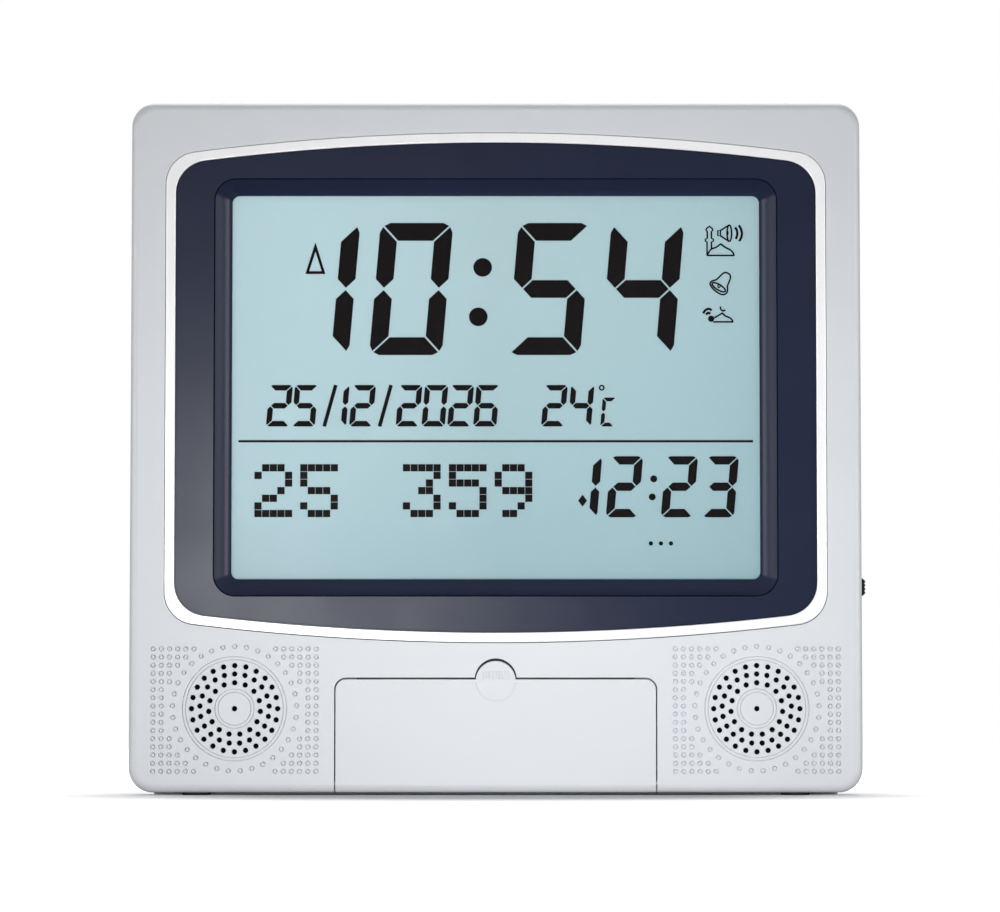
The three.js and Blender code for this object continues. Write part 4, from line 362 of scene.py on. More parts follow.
# Studio. A lamp has its name, place, target, size and radiance, and then whether its reflection shows
# and whether it lights matt surfaces.
WORLD_LIGHT = 0.2
FLOOR_REACH = 4
FLOOR_COLOUR = (0.70, 0.70, 0.71, 1)
FLOOR_NEAR = 0.07
FLOOR_FAR = 0.225
FLOOR_LIFT_NEAR = 0.015
LAMP_TARGET = (0, 0, 0.12)
LAMPS = (
    ("top_back", (0, 0.65, 1.46), LAMP_TARGET, (1.0, 1.0), 4.2),
    ("low_front", (0.03, -0.32, 0.04), (0.02, 0, 0.05), (0.14, 0.06), 20.0, False),
    ("front", (-0.19, -1.45, 0.12), LAMP_TARGET, (0.2, 0.3), 16.0, False),
    ("sheen", (-0.162, -1.45, 0.095), LAMP_TARGET, (0.26, 0.25), 24.0, True, False),
    ("side", (-1.0, -0.2, 0.16), LAMP_TARGET, (0.3, 0.5), 3.2),
    ("slope_sheen", (-0.95, -0.62, 0.16), LAMP_TARGET, (0.3, 0.5), 8.0, True, False),
    ("side", (1.0, -0.2, 0.16), LAMP_TARGET, (0.3, 0.5), 3.2),
    ("slope_sheen", (0.95, -0.62, 0.16), LAMP_TARGET, (0.3, 0.5), 9.0, True, False),
)
CAMERA_LENS = 155.63
CAMERA_PLACE = (0.001488, -1.51495, 0.02178)
CAMERA_TILT = 93.656


# Outlines

def arc(x, z, radius, start, end, steps=CORNER_STEPS):
    """Points on an arc from one angle to another, both in radians."""
    turns = [start + (end - start) * i / steps for i in range(steps + 1)]
    return [(x + radius * math.cos(t), z + radius * math.sin(t)) for t in turns]


def circle(x, z, radius, steps=HOLE_STEPS):
    return arc(x, z, radius, 0, 2 * math.pi, steps)[:-1]


def ring_places(x, z, radius, count):
    """Evenly spaced places on a circle, from its top on."""
    return arc(x, z, radius, math.pi / 2, 2.5 * math.pi, count)[:-1]


def rounded_box(left, right, low, high, radius, steps=CORNER_STEPS):
    """A box with rounded corners, counter-clockwise from its right side."""
    x1, x2 = left + radius, right - radius
    z1, z2 = low + radius, high - radius
    quarter = math.pi / 2
    corners = enumerate(((x2, z2), (x1, z2), (x1, z1), (x2, z1)))
    return [p for n, place in corners for p in arc(*place, radius, n * quarter, (n + 1) * quarter, steps)]


def middle_box(half, low, high, radius, steps=CORNER_STEPS):
    """A rounded box that reaches as far to the left of the clock's middle as to its right."""
    return rounded_box(-half, half, low, high, radius, steps)


def centred_box(x, z, width, height, radius, steps=CORNER_STEPS):
    return rounded_box(x - width / 2, x + width / 2, z - height / 2, z + height / 2, radius, steps)


def case_outline(inset=0.0):
    bottom, top = CASE_BOTTOM + inset, CASE_TOP - inset
    return middle_box(CASE_HALF_WIDTH - inset, bottom, top, CASE_CORNER_RADIUS - inset)


def band_corner(inset):
    """Corner radius of the band's outline. Its outer and inner corners have centres of their own."""
    if inset < TRIM_BAND / 2:
        return TRIM_CORNER_RADIUS - inset
    return BEZEL_CORNER_RADIUS + TRIM_BAND - inset


def arched_outline(inset=0.0):
    """The band's outline, a box with arched top and bottom, shrunk by inset."""
    corner = band_corner(inset)
    corner_x = TRIM_HIGH[0] - inset - corner
    radii = (TOP_ARCH_RADIUS - inset, BOTTOM_ARCH_RADIUS - inset)
    top_rise, low_rise = [math.sqrt((radius - corner) ** 2 - corner_x ** 2) for radius in radii]
    top_lean, low_lean = [math.asin(corner_x / (radius - corner)) for radius in radii]
    top_z = TRIM_HIGH[2] - TOP_ARCH_RADIUS
    low_z = TRIM_LOW[2] + BOTTOM_ARCH_RADIUS
    up = math.pi / 2
    steps = 3 * CORNER_STEPS
    return (
        arc(corner_x, top_z + top_rise, corner, 0, up - top_lean)
        + arc(0, top_z, radii[0], up - top_lean, up + top_lean, steps)[1:-1]
        + arc(-corner_x, top_z + top_rise, corner, up + top_lean, 2 * up)
        + arc(-corner_x, low_z - low_rise, corner, 2 * up, 3 * up - low_lean)
        + arc(0, low_z, radii[1], -up - low_lean, -up + low_lean, steps)[1:-1]
        + arc(corner_x, low_z - low_rise, corner, -up + low_lean, 0)
    )


def moved_down(outline, distance):
    return [(x, z - distance) for x, z in outline]


def window_outline(border, radius, rise=0.0):
    """The window's box with a border round it, and its top a little higher by rise."""
    reach = WINDOW_HEIGHT / 2 + border
    return middle_box(WINDOW_WIDTH / 2 + border, WINDOW_Z - reach, WINDOW_Z + reach + rise, radius)


def slope_outline(share):
    """The recess's sloped wall, by share of the way from its edge to the window."""
    border = RECESS_BORDER + (WINDOW_LIP - RECESS_BORDER) * share
    radius = RECESS_CORNER_RADIUS + (WINDOW_CORNER_RADIUS + WINDOW_LIP - RECESS_CORNER_RADIUS) * share
    return window_outline(border, radius, WINDOW_RISE * share)


def funnel_outline(margin=0.0):
    """The outside of the wall that carries the recess's slope."""
    wall = BEZEL_WALL + margin
    return window_outline(RECESS_BORDER + wall, RECESS_CORNER_RADIUS + wall)


def keyhole_outline(x):
    turn = math.acos(KEYHOLE_SLOT_RADIUS / KEYHOLE_ENTRY_RADIUS)
    slot = arc(x, KEYHOLE_Z + KEYHOLE_SLOT_LENGTH, KEYHOLE_SLOT_RADIUS, 0, math.pi)
    return slot + arc(x, KEYHOLE_Z, KEYHOLE_ENTRY_RADIUS, math.pi - turn, 2 * math.pi + turn, 24)


def keyhole_room(x, margin=0.0):
    reach = KEYHOLE_ENTRY_RADIUS + KEYHOLE_MARGIN + margin
    top = KEYHOLE_Z + KEYHOLE_SLOT_LENGTH + reach
    return rounded_box(x - reach, x + reach, KEYHOLE_Z - reach, top, reach / 3, 4)


def leg_outline():
    """The stand leg's plate: square under its barrel, round below, with a finger notch."""
    half = LEG_HALF_WIDTH
    low = LEG_BASE + LEG_CORNER_RADIUS
    inner = half - LEG_CORNER_RADIUS
    return (
        [(half, LEG_PIVOT[1]), (-half, LEG_PIVOT[1])]
        + arc(-inner, low, LEG_CORNER_RADIUS, math.pi, 1.5 * math.pi)
        + arc(0, LEG_BASE, LEG_NOTCH_RADIUS, math.pi, 0, 2 * CORNER_STEPS)
        + arc(inner, low, LEG_CORNER_RADIUS, 1.5 * math.pi, 2 * math.pi)
    )


def knob_outline():
    """The knob's cap seen from the front, with grip notches on its outer side."""
    low, high = KNOB_LOW[2] + KNOB_FLANGE, KNOB_HIGH[2] - KNOB_FLANGE
    left, right = KNOB_LOW[0] + KNOB_FLANGE / 2, KNOB_HIGH[0]
    outline = [(left, low), (right - KNOB_SLOPE, low), (right, low + KNOB_SLOPE)]
    for rise in KNOB_GROOVES:
        z = (low + high) / 2 + rise
        half = KNOB_GROOVE_HALF_WIDTH
        outline += [(right, z - half), (right - KNOB_GROOVE_DEPTH, z), (right, z + half)]
    return outline + [(right, high - KNOB_SLOPE), (right - KNOB_SLOPE, high), (left, high)]


def door_outline(margin=0.0, low=CASE_BOTTOM, rise=0.0):
    """The door's outline: rounded upper corners, square at the case's bottom."""
    half = DOOR_HALF_WIDTH + margin
    top = DOOR_TOP_Z + rise
    radius = DOOR_CORNER_RADIUS + margin
    return middle_box(half, low, top, radius)[:2 * CORNER_STEPS + 2] + [(-half, low), (half, low)]


def with_half_disc(outline, z, radius, centre_z):
    """Adds a half-disc above the level stretch at height z of an outline."""
    lean = math.asin((z - centre_z) / radius)
    disc = arc(0, centre_z, radius, lean, math.pi - lean, 3 * CORNER_STEPS)
    at = next(i for i, (x, level) in enumerate(outline) if x < 0 and abs(level - z) < 1e-9)
    return outline[:at] + disc + outline[at:]


def grown(outline, distance):
    """A counter-clockwise outline, moved outward by a distance."""
    moved = []
    for i, place in enumerate(outline):
        here = Vector(place)
        first = (here - Vector(outline[i - 1])).normalized()
        second = (Vector(outline[(i + 1) % len(outline)]) - here).normalized()
        normal = Vector((first.y + second.y, -first.x - second.x)).normalized()
        lean = max(0.5, normal.dot(Vector((first.y, -first.x))))
        moved.append(tuple(here + normal * distance / lean))
    return moved


def inside(point, outline):
    x, z = point
    odd = False
    for (x1, z1), (x2, z2) in zip(outline, outline[1:] + outline[:1]):
        if (z1 > z) != (z2 > z) and x < (x2 - x1) * (z - z1) / (z2 - z1) + x1:
            odd = not odd
    return odd


def fillet(radius, face=0.0, way=1, steps=FILLET_STEPS):
    """A quarter round from a flat face into a wall: steps of (distance outward, place along the axis)."""
    turns = [math.pi / 2 * i / steps for i in range(steps + 1)]
    return [(radius * (1 - math.sin(t)), face + way * radius * (1 - math.cos(t))) for t in turns]


def rounded_steps(front, back, front_radius=RIM_ROUNDING, back_radius=RIM_ROUNDING):
    """Steps through a plate with rounded edges, as for a fillet."""
    steps = fillet(front_radius, front, 1, 5) + fillet(back_radius, back, -1, 5)[::-1]
    return [(-grow, along) for grow, along in steps]


class Shell:
    """A mesh made of rings that lie square to Y, the faces between them and flat covers."""

    def __init__(self):
        self.points = []
        self.faces = []

    def add(self, points):
        """Adds points and returns them as a ring."""
        first = len(self.points)
        self.points += points
        return list(range(first, len(self.points)))

    def ring(self, outline, y):
        return self.add([(x, y, z) for x, z in outline])

    def join(self, first, second):
        for i in range(len(first)):
            k = (i + 1) % len(first)
            self.faces.append((first[i], first[k], second[k], second[i]))

    def chain(self, rings):
        """Joins each ring to the next. Returns the first and last."""
        for first, second in zip(rings, rings[1:]):
            self.join(first, second)
        return rings[0], rings[-1]

    def sweep(self, outline, steps):
        """Rings of one outline, each grown and placed at a depth. Returns the first and last."""
        return self.chain([self.ring(grown(outline, grow), y) for grow, y in steps])

    def cover(self, outer, *holes):
        """Fills the flat space between one outer ring and the holes in it."""
        loops = [outer, *holes]
        keys = [key for loop in loops for key in loop]
        owner = [number for number, loop in enumerate(loops) for key in loop]
        flat = [Vector(self.points[key][::2]) for key in keys]
        edges = []
        for loop in loops:
            first = len(edges)
            edges += [(first + i, first + (i + 1) % len(loop)) for i in range(len(loop))]
        outlines = [[self.points[key][::2] for key in loop] for loop in loops]
        made = geometry.delaunay_2d_cdt(flat, edges, [], 0, 1e-9)
        source = [numbers[0] for numbers in made[3]]
        for triangle in made[2]:
            corners = [source[i] for i in triangle]
            owners = {owner[i] for i in corners}
            if len(owners) == 1:
                number = owners.pop()
                middle = sum((flat[i] for i in corners), Vector((0, 0))) / 3
                if inside(middle, outlines[number]) != (number == 0):
                    continue
            self.faces.append(tuple(keys[i] for i in corners))

    def close(self, rings):
        """Covers each of the rings."""
        for ring in rings:
            self.cover(ring)


# Objects

def make_object(name, points, faces, smooth=False):
    """A mesh object. Points that coincide are merged, and its faces look outward."""
    mesh = bpy.data.meshes.new(name)
    mesh.from_pydata(points, [], faces)
    piece = bpy.data.objects.new(name, mesh)
    bpy.context.scene.collection.objects.link(piece)
    shape = bmesh.new()
    shape.from_mesh(mesh)
    bmesh.ops.remove_doubles(shape, verts=shape.verts, dist=1e-7)
    bmesh.ops.recalc_face_normals(shape, faces=shape.faces)
    shape.to_mesh(mesh)
    shape.free()
    if smooth:
        shade(piece)
    return piece


def shade(piece, angle=math.radians(35)):
    """Smooth shading with sharp edges kept, weighted so that flat faces stay flat."""
    mesh = piece.data
    for face in mesh.polygons:
        face.use_smooth = True
    mesh.set_sharp_from_angle(angle=angle)
    weighted = piece.modifiers.new("flat faces first", "WEIGHTED_NORMAL")
    weighted.keep_sharp = True


def combine(piece, others, operation="DIFFERENCE"):
    """Cuts other solids out of a piece, or joins them to it, deletes them and shades the piece."""
    for other in others:
        step = piece.modifiers.new("combine", "BOOLEAN")
        step.operation = operation
        step.solver = "EXACT"
        step.object = other
    graph = bpy.context.evaluated_depsgraph_get()
    made = bpy.data.meshes.new_from_object(piece.evaluated_get(graph))
    piece.modifiers.clear()
    piece.data = made
    for other in others:
        bpy.data.objects.remove(other)
    shade(piece)


def shell_object(name, shell, smooth=False, axis="y"):
    """A shell as an object. Its rings lie square to the axis."""
    points = [tuple(point[k] for k in AXES[axis]) for point in shell.points]
    return make_object(name, points, shell.faces, smooth)


def slab(name, outline, steps, smooth=False, axis="y"):
    """A closed solid: one outline carried through steps of (distance outward, place along the axis)."""
    shell = Shell()
    shell.close(shell.sweep(outline, steps))
    return shell_object(name, shell, smooth, axis)


def prism(name, outline, front, back, axis="y"):
    """A closed straight solid."""
    return slab(name, outline, [(0, front), (0, back)], axis=axis)


def turned(name, place, profile, smooth=False, axis="y", steps=24):
    """A solid of revolution: a profile of radius and place along the axis."""
    shell = Shell()
    rings = [shell.ring(circle(*place, radius, steps), along) for radius, along in profile]
    shell.close(shell.chain(rings))
    return shell_object(name, shell, smooth, axis)


def band(name, outlines, axis="y"):
    """A closed band through outlines, each of them with its place along the axis."""
    shell = Shell()
    rings = [shell.ring(outline, along) for outline, along in outlines]
    shell.chain(rings + rings[:1])
    return shell_object(name, shell, True, axis)


def opening(outline, face, end, rounding=RIM_ROUNDING):
    """A solid that cuts a hollow with a rounded rim, from beyond a face to its floor."""
    way = 1 if end > face else -1
    rim = fillet(rounding, face, way, 4)
    return slab("opening", outline, [(rim[0][0], face - way * CASE_WALL), *rim, (0, end)])


def dent(shell, outline, face, end, rounding=DENT_ROUNDING):
    """A shallow hollow in a flat face. Returns its ring on the face."""
    way = 1 if end > face else -1
    first, last = shell.sweep(outline, fillet(rounding, face, way, 2) + [(0, end)])
    shell.cover(last)
    return first


def register(piece, body, slot, *nodes, finish=None):
    """Gives a piece its finish, its body, its material slot and the nodes that it stands for."""
    piece.data.materials.append(finish or FINISHES[slot])
    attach(piece, body)
    if nodes:
        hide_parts(*nodes)


# Finishes

def srgb(red, green, blue):
    """A colour written as 0 to 255, as the linear colour that a shader socket takes."""
    parts = [c / 255 for c in (red, green, blue)]
    return [c / 12.92 if c <= 0.04045 else ((c + 0.055) / 1.055) ** 2.4 for c in parts] + [1.0]


def feed(tree, node, values):
    """Fills a node's inputs. A socket is linked, and anything else is set."""
    for name, value in values.items():
        if isinstance(value, bpy.types.NodeSocket):
            tree.links.new(value, node.inputs[name])
        else:
            node.inputs[name].default_value = value


def add(tree, kind, values=None):
    """A new shader node with some of its inputs filled."""
    node = tree.nodes.new(f"ShaderNode{kind}")
    feed(tree, node, values or {})
    return node


def add_math(tree, operation, first, second):
    node = add(tree, "Math", {0: first, 1: second})
    node.operation = operation
    return node.outputs[0]


def new_material(name):
    """A material with its node tree and its shader."""
    material = bpy.data.materials.new(name)
    material.use_nodes = True
    tree = material.node_tree
    return material, tree, tree.nodes["Principled BSDF"]


def finish_material(
    name, colour, roughness, metallic=0.0, spread=0.04, grain=900, bump=0.1, coat=0.0, specular=0.5,
):
    """Moulded, painted or rolled material: fine grain, faint mottling and uneven gloss."""
    material, tree, shader = new_material(name)
    colour = srgb(*colour)
    place = add(tree, "TexCoord").outputs["Object"]
    mottle = add(tree, "TexNoise", {"Scale": MOTTLE_SCALE, "Detail": 6, "Vector": place}).outputs["Fac"]
    tint = add(tree, "ValToRGB", {"Fac": mottle})
    ends = tint.color_ramp.elements
    for end, position, share in ((ends[0], 0.3, 1 - spread), (ends[1], 0.7, 1 + spread)):
        end.position = position
        end.color = [min(1.0, c * share) for c in colour[:3]] + [1.0]
    gloss = add(tree, "MapRange", {
        "Value": mottle, "To Min": max(0.02, roughness - GLOSS_SPREAD), "To Max": roughness + GLOSS_SPREAD,
    })
    texture = add(tree, "TexNoise", {"Scale": grain, "Detail": 3, "Vector": place})
    relief = add(tree, "Bump", {"Strength": bump, "Distance": GRAIN_DEPTH, "Height": texture.outputs["Fac"]})
    feed(tree, shader, {
        "Metallic": metallic, "Specular IOR Level": specular, "Coat Weight": coat, "Coat Roughness": 0.05,
        "Base Color": tint.outputs["Color"], "Roughness": gloss.outputs["Result"],
        "Normal": relief.outputs["Normal"],
    })
    return material


def display_material():
    """The display's pale face with painted light: a painted highlight makes it lighter and bluer on the
    left, and painted light at the top offsets the recess's shade.
    """
    material = finish_material("display_face", (168, 200, 205), 0.3, grain=1200, bump=0.02, specular=0.2)
    tree = material.node_tree
    place = tree.nodes["Texture Coordinate"].outputs["Object"]
    split = add(tree, "SeparateXYZ", {"Vector": place})
    across, up = [
        add(tree, "MapRange", {
            "Value": split.outputs[k], "From Min": GLASS_LOW[k], "From Max": GLASS_HIGH[k],
        }).outputs["Result"]
        for k in (0, 2)
    ]
    painted_light_blend = add(tree, "Mix")
    painted_light_blend.data_type = "RGBA"
    tree.links.new(up, painted_light_blend.inputs["Factor"])
    # Each row of colours is painted light: a painted highlight on the left, and lighter at the top against
    # the recess's shade
    for (left, middle, right), name in zip(DISPLAY_PAINTED_LIGHT, ("A", "B")):
        tint = add(tree, "ValToRGB", {"Fac": across})
        tint.color_ramp.elements[0].color = srgb(*left)
        tint.color_ramp.elements[1].color = srgb(*right)
        tint.color_ramp.elements.new(0.5).color = srgb(*middle)
        tree.links.new(tint.outputs["Color"], colour_socket(painted_light_blend.inputs, name))
    shader = tree.nodes["Principled BSDF"]
    feed(tree, shader, {"Base Color": colour_socket(painted_light_blend.outputs, "Result")})
    return material


def colour_socket(sockets, name):
    return next(socket for socket in sockets if socket.name == name and socket.type == "RGBA")


def lens_material():
    """The clear sheet over the display: almost nothing of it shows but its gloss."""
    material = finish_material("clear_sheet", (12, 14, 16), 0.08, spread=0.1, bump=0.01, specular=0.1)
    material.node_tree.nodes["Principled BSDF"].inputs["Alpha"].default_value = 0.012
    return material


# The finish of each material slot
FINISHES = {
    "silver_case": finish_material(
        "silver_paint", (218, 221, 225), 0.42, spread=0.012, grain=2600, bump=0.06,
    ),
    "white_trim": finish_material(
        "white_gloss", (254, 254, 255), 0.12, spread=0.005, bump=0.01, coat=1.0, specular=1.0,
    ),
    "navy_bezel": finish_material(
        "navy_bezel", (28, 36, 59), 0.2, spread=0.05, grain=3000, bump=0.02, specular=0.12,
    ),
    "clear_window": lens_material(),
    "display_glass": display_material(),
    "black_plastic": finish_material(
        "black_plastic", (14, 15, 17), 0.35, spread=0.1, grain=1800, specular=0.2,
    ),
    "grey_buttons": finish_material("grey_rubber_keys", (185, 190, 196), 0.5, spread=0.02, grain=2200),
    "black_rubber": finish_material("black_rubber", (42, 43, 46), 0.8, spread=0.1, grain=1500, bump=0.3),
    "green_board": finish_material("green_board", (29, 90, 58), 0.35, spread=0.12, grain=1400, coat=0.3),
    "steel": finish_material("bright_steel", (196, 198, 201), 0.28, 1.0, spread=0.04, grain=700, bump=0.08),
    "speaker_cone": finish_material(
        "paper_cone", (20, 21, 23), 0.9, spread=0.15, grain=1100, bump=0.4, specular=0.1,
    ),
    "cell_jacket": finish_material("cell_jacket", (51, 80, 110), 0.25, spread=0.05, grain=500, coat=0.6),
    "wire_jacket": finish_material("wire_jacket", (140, 31, 31), 0.4, spread=0.06, grain=1600),
}
INK = finish_material("display_ink", (28, 25, 26), 0.5, spread=0.05, bump=0.01, specular=0.02)


# Case

def dimple_places(side):
    """Centres of the small rings round one speaker: the grid, then the outer circle."""
    x = side * SPEAKER_X
    places = []
    for row, count in enumerate(DIMPLE_ROWS):
        z = DIMPLE_MIDDLE_Z + ((len(DIMPLE_ROWS) - 1) / 2 - row) * DIMPLE_PITCH
        for step in range(count):
            reach = ((DIMPLE_COLUMNS - 1) / 2 - step) * DIMPLE_PITCH
            places += [(x - reach, z), (x + reach, z)]
    return places + ring_places(x, SPEAKER_Z, *DIMPLE_RING)


def channel(shell, x, z, radius, width, depth, steps):
    """A round channel in the face. Returns its outer and inner rings."""
    return shell.chain([
        shell.ring(circle(x, z, radius - width * share, steps), CASE_FRONT + depth * deep)
        for share, deep in CHANNEL_PROFILE
    ])


def dimple(shell, x, z):
    """A small ring-shaped channel. Returns its outer ring on the face."""
    outer, inner = channel(shell, x, z, DIMPLE_RADIUS, DIMPLE_CHANNEL, DIMPLE_DEPTH, SPEAKER_HOLE_STEPS)
    shell.cover(inner)
    return outer


def grille_hole(shell, x, z, inner):
    """A drilled hole with a rounded rim. Returns its rings on the face and on the inside."""
    outline = circle(x, z, GRILLE_HOLE_RADIUS, SPEAKER_HOLE_STEPS)
    return shell.sweep(outline, fillet(RIM_ROUNDING / 2, CASE_FRONT, 1, 2) + [(0, inner)])


def speaker_face(shell, side, inner):
    """The grille in front of one speaker. Returns its ring on the face and its holes inside."""
    x = side * SPEAKER_X
    places = [place for ring in GRILLE_RINGS for place in ring_places(x, SPEAKER_Z, *ring)]
    holes = [grille_hole(shell, *place, inner) for place in [*places, (x, SPEAKER_Z)]]
    fronts = [front for front, back in holes]
    lines = [
        channel(shell, x, SPEAKER_Z, radius + GROOVE_WIDTH / 2, GROOVE_WIDTH, GROOVE_DEPTH, GROOVE_STEPS)
        for radius in GROOVES
    ]
    shell.cover(lines[0][1], lines[1][0])
    shell.cover(lines[1][1], lines[2][0], *fronts[:-1])
    shell.cover(lines[2][1], lines[3][0])
    shell.cover(lines[3][1], fronts[-1])
    return lines[0][0], [back for front, back in holes]


def screw_places():
    x, z = SCREW_PLACE
    low = CASE_TOP + CASE_BOTTOM - z
    return ((-x, low), (x, low), (-x, z), (x, z))


def post(shell, x, z, start, end):
    """The round wall of a screw's post or well, inside the case."""
    return shell.sweep(circle(x, z, SCREW_HEAD_RADIUS + ROOM_WALL, 24), [(0, start), (0, end)])


def make_case_front():
    """The front shell: the trim's well, the grilles, the keypad pocket and the screw posts."""
    shell = Shell()
    inner = CASE_FRONT + CASE_WALL
    steps = fillet(CASE_EDGE_RADIUS, CASE_FRONT) + [
        (0, PARTING - PARTING_GROOVE), (PARTING_GROOVE, PARTING), (CASE_WALL, PARTING), (CASE_WALL, inner),
    ]
    face, inner_face = shell.chain([shell.ring(case_outline(inset), y) for inset, y in steps])

    floor = CASE_FRONT + WELL_DEPTH
    ledge = floor + CASE_WALL
    well = moved_down(arched_outline(-WELL_GAP), WELL_DROP)
    rim = fillet(WELL_RIM_ROUNDING, CASE_FRONT, 1, 3)
    well_face, well_floor = shell.sweep(well, rim + [(0, floor)])
    recess_front, recess_back = shell.sweep(funnel_outline(FIT_GAP), [(0, floor), (0, ledge)])
    shell.cover(well_floor, recess_front)
    well_inner, well_back = shell.sweep(grown(well, CASE_WALL), [(0, inner), (0, ledge)])
    shell.cover(well_back, recess_back)

    speakers = [speaker_face(shell, side, inner) for side in (-1, 1)]
    dimples = [dimple(shell, x, z) for side in (-1, 1) for x, z in dimple_places(side)]
    shell.cover(face, well_face, *[ring for ring, backs in speakers], *dimples)
    half = DOOR_HALF_WIDTH + DOOR_GAP + CASE_WALL
    top = POCKET_TOP_Z + CASE_WALL
    box = middle_box(half, CASE_BOTTOM + CASE_WALL + HAIR_GAP, top, CASE_WALL)
    pocket_wall = with_half_disc(box, top, NOTCH_RADIUS + CASE_WALL, NOTCH_Z)
    rooms = [shell.sweep(pocket_wall, [(0, inner), (0, CASE_FRONT + POCKET_DEPTH + POCKET_PANEL)])]
    rooms += [post(shell, x, z, inner, PARTING - FIT_GAP) for x, z in screw_places()]
    shell.close([end for near, end in rooms])
    backs = [back for ring, behind in speakers for back in behind]
    shell.cover(inner_face, well_inner, *[near for near, end in rooms], *backs)
    piece = shell_object("case_front", shell)
    combine(piece, door_cutters() + [knob_cutter()])
    register(piece, "case", "silver_case", "front_case")


def door_cutters():
    """Solids that open the door's mouth, its swing space, the pocket and the button holes."""
    half = DOOR_HALF_WIDTH + DOOR_GAP
    below = CASE_BOTTOM - CASE_WALL
    panel = CASE_FRONT + POCKET_DEPTH
    door = door_outline(DOOR_GAP, below, DOOR_TOP_GAP)
    mouth = with_half_disc(door, POCKET_TOP_Z, NOTCH_RADIUS, NOTCH_Z)
    pocket = Shell()
    outline = middle_box(half, CASE_BOTTOM + CASE_WALL, POCKET_TOP_Z, RIM_ROUNDING, 2)
    near, floor = pocket.sweep(outline, [(0, CASE_FRONT + CASE_WALL), (0, panel)])
    wide, high = [size + 2 * BUTTON_GAP for size in (BUTTON_WIDTH, BUTTON_HEIGHT)]
    holes = []
    for x, z in button_places():
        hole = centred_box(x, z, wide, high, BUTTON_CORNER_RADIUS + BUTTON_GAP, 6)
        first, last = pocket.sweep(hole, [(0, panel), (0, panel + 2 * POCKET_PANEL)])
        pocket.cover(last)
        holes.append(first)
    pocket.cover(near)
    pocket.cover(floor, *holes)
    swing = middle_box(half, below, CASE_BOTTOM + 2 * CASE_WALL, RIM_ROUNDING, 2)
    return [
        opening(mouth, CASE_FRONT, CASE_FRONT + NOTCH_DEPTH, DOOR_RIM_ROUNDING),
        shell_object("pocket", pocket),
        prism("swing", swing, CASE_FRONT - CASE_WALL, CASE_FRONT + DOOR_SWING_DEPTH),
        pin_cutter(DOOR_HINGE, DOOR_PIN_RADIUS, DOOR_PIN_END),
    ]


def pin_cutter(place, radius, reach):
    """A bore along X for a pair of pins, a little wider and longer than they are."""
    profile = [(radius + RIM_ROUNDING, side * (reach + FIT_GAP)) for side in (-1, 1)]
    return turned("bore", place, profile, axis="x")


def knob_cutter():
    """The slot in the case's side for the side knob, square to X."""
    margin = FIT_GAP - KNOB_FLANGE
    outline = rounded_box(
        KNOB_LOW[1] - margin, KNOB_HIGH[1] + margin,
        KNOB_LOW[2] - margin, KNOB_HIGH[2] + margin + KNOB_TRAVEL, FIT_GAP, 4,
    )
    return prism("slot", outline, CASE_HALF_WIDTH - 2 * CASE_WALL, CASE_HALF_WIDTH + CASE_WALL, axis="x")


def back_rooms(shell):
    """Walls round the hollows of the back case, on its inside. Returns their rings there."""
    inner = CASE_BACK - CASE_WALL
    half, reach = BATTERY_ROOM
    battery = [
        (2 * ROOM_WALL, inner), (2 * ROOM_WALL, inner - ROOM_WALL),
        (ROOM_WALL, inner - ROOM_WALL), (ROOM_WALL, BATTERY_ROOM_FLOOR - ROOM_WALL),
    ]
    outline = centred_box(0, BATTERY_Z, 2 * half, 2 * reach, ROOM_WALL, 4)
    rooms = [shell.sweep(outline, battery)]
    low = CASE_BOTTOM + CASE_WALL + RIM_ROUNDING
    leg = middle_box(LEG_HALF_WIDTH + 2.5 * ROOM_WALL, low, LEG_RECESS_TOP + ROOM_WALL, ROOM_WALL, 4)
    leg_front = LEG_RECESS_FLOOR - ROOM_WALL
    notch_half = LEG_NOTCH_RADIUS + ROOM_WALL
    notch = middle_box(notch_half, low + RIM_ROUNDING, low + notch_half, ROOM_WALL, 4)
    near, end = shell.sweep(leg, [(0, inner), (0, leg_front)])
    foot, top = shell.sweep(notch, [(0, leg_front), (0, LEG_NOTCH_FLOOR - ROOM_WALL)])
    shell.cover(end, foot)
    rooms.append((near, top))
    floor = inner - KEYHOLE_POCKET_DEPTH - ROOM_WALL
    for x in (-KEYHOLE_X, KEYHOLE_X):
        rooms.append(shell.sweep(keyhole_room(x, ROOM_WALL), [(0, inner), (0, floor)]))
    rooms += [post(shell, x, z, inner, PARTING) for x, z in screw_places()]
    shell.close([end for near, end in rooms])
    return [near for near, end in rooms]


def make_case_back():
    """The back shell with its hollows, keyholes and screw wells."""
    shell = Shell()
    steps = [
        (CASE_WALL, CASE_BACK - CASE_WALL), (CASE_WALL, PARTING), (PARTING_GROOVE, PARTING),
        (0, PARTING + PARTING_GROOVE),
    ]
    steps += fillet(CASE_EDGE_RADIUS, CASE_BACK, -1)[::-1]
    inner_face, face = shell.chain([shell.ring(case_outline(inset), y) for inset, y in steps])
    shell.cover(face)
    shell.cover(inner_face, *back_rooms(shell))
    piece = shell_object("case_back", shell)
    combine(piece, back_cutters())
    register(piece, "case", "silver_case", "back_case")


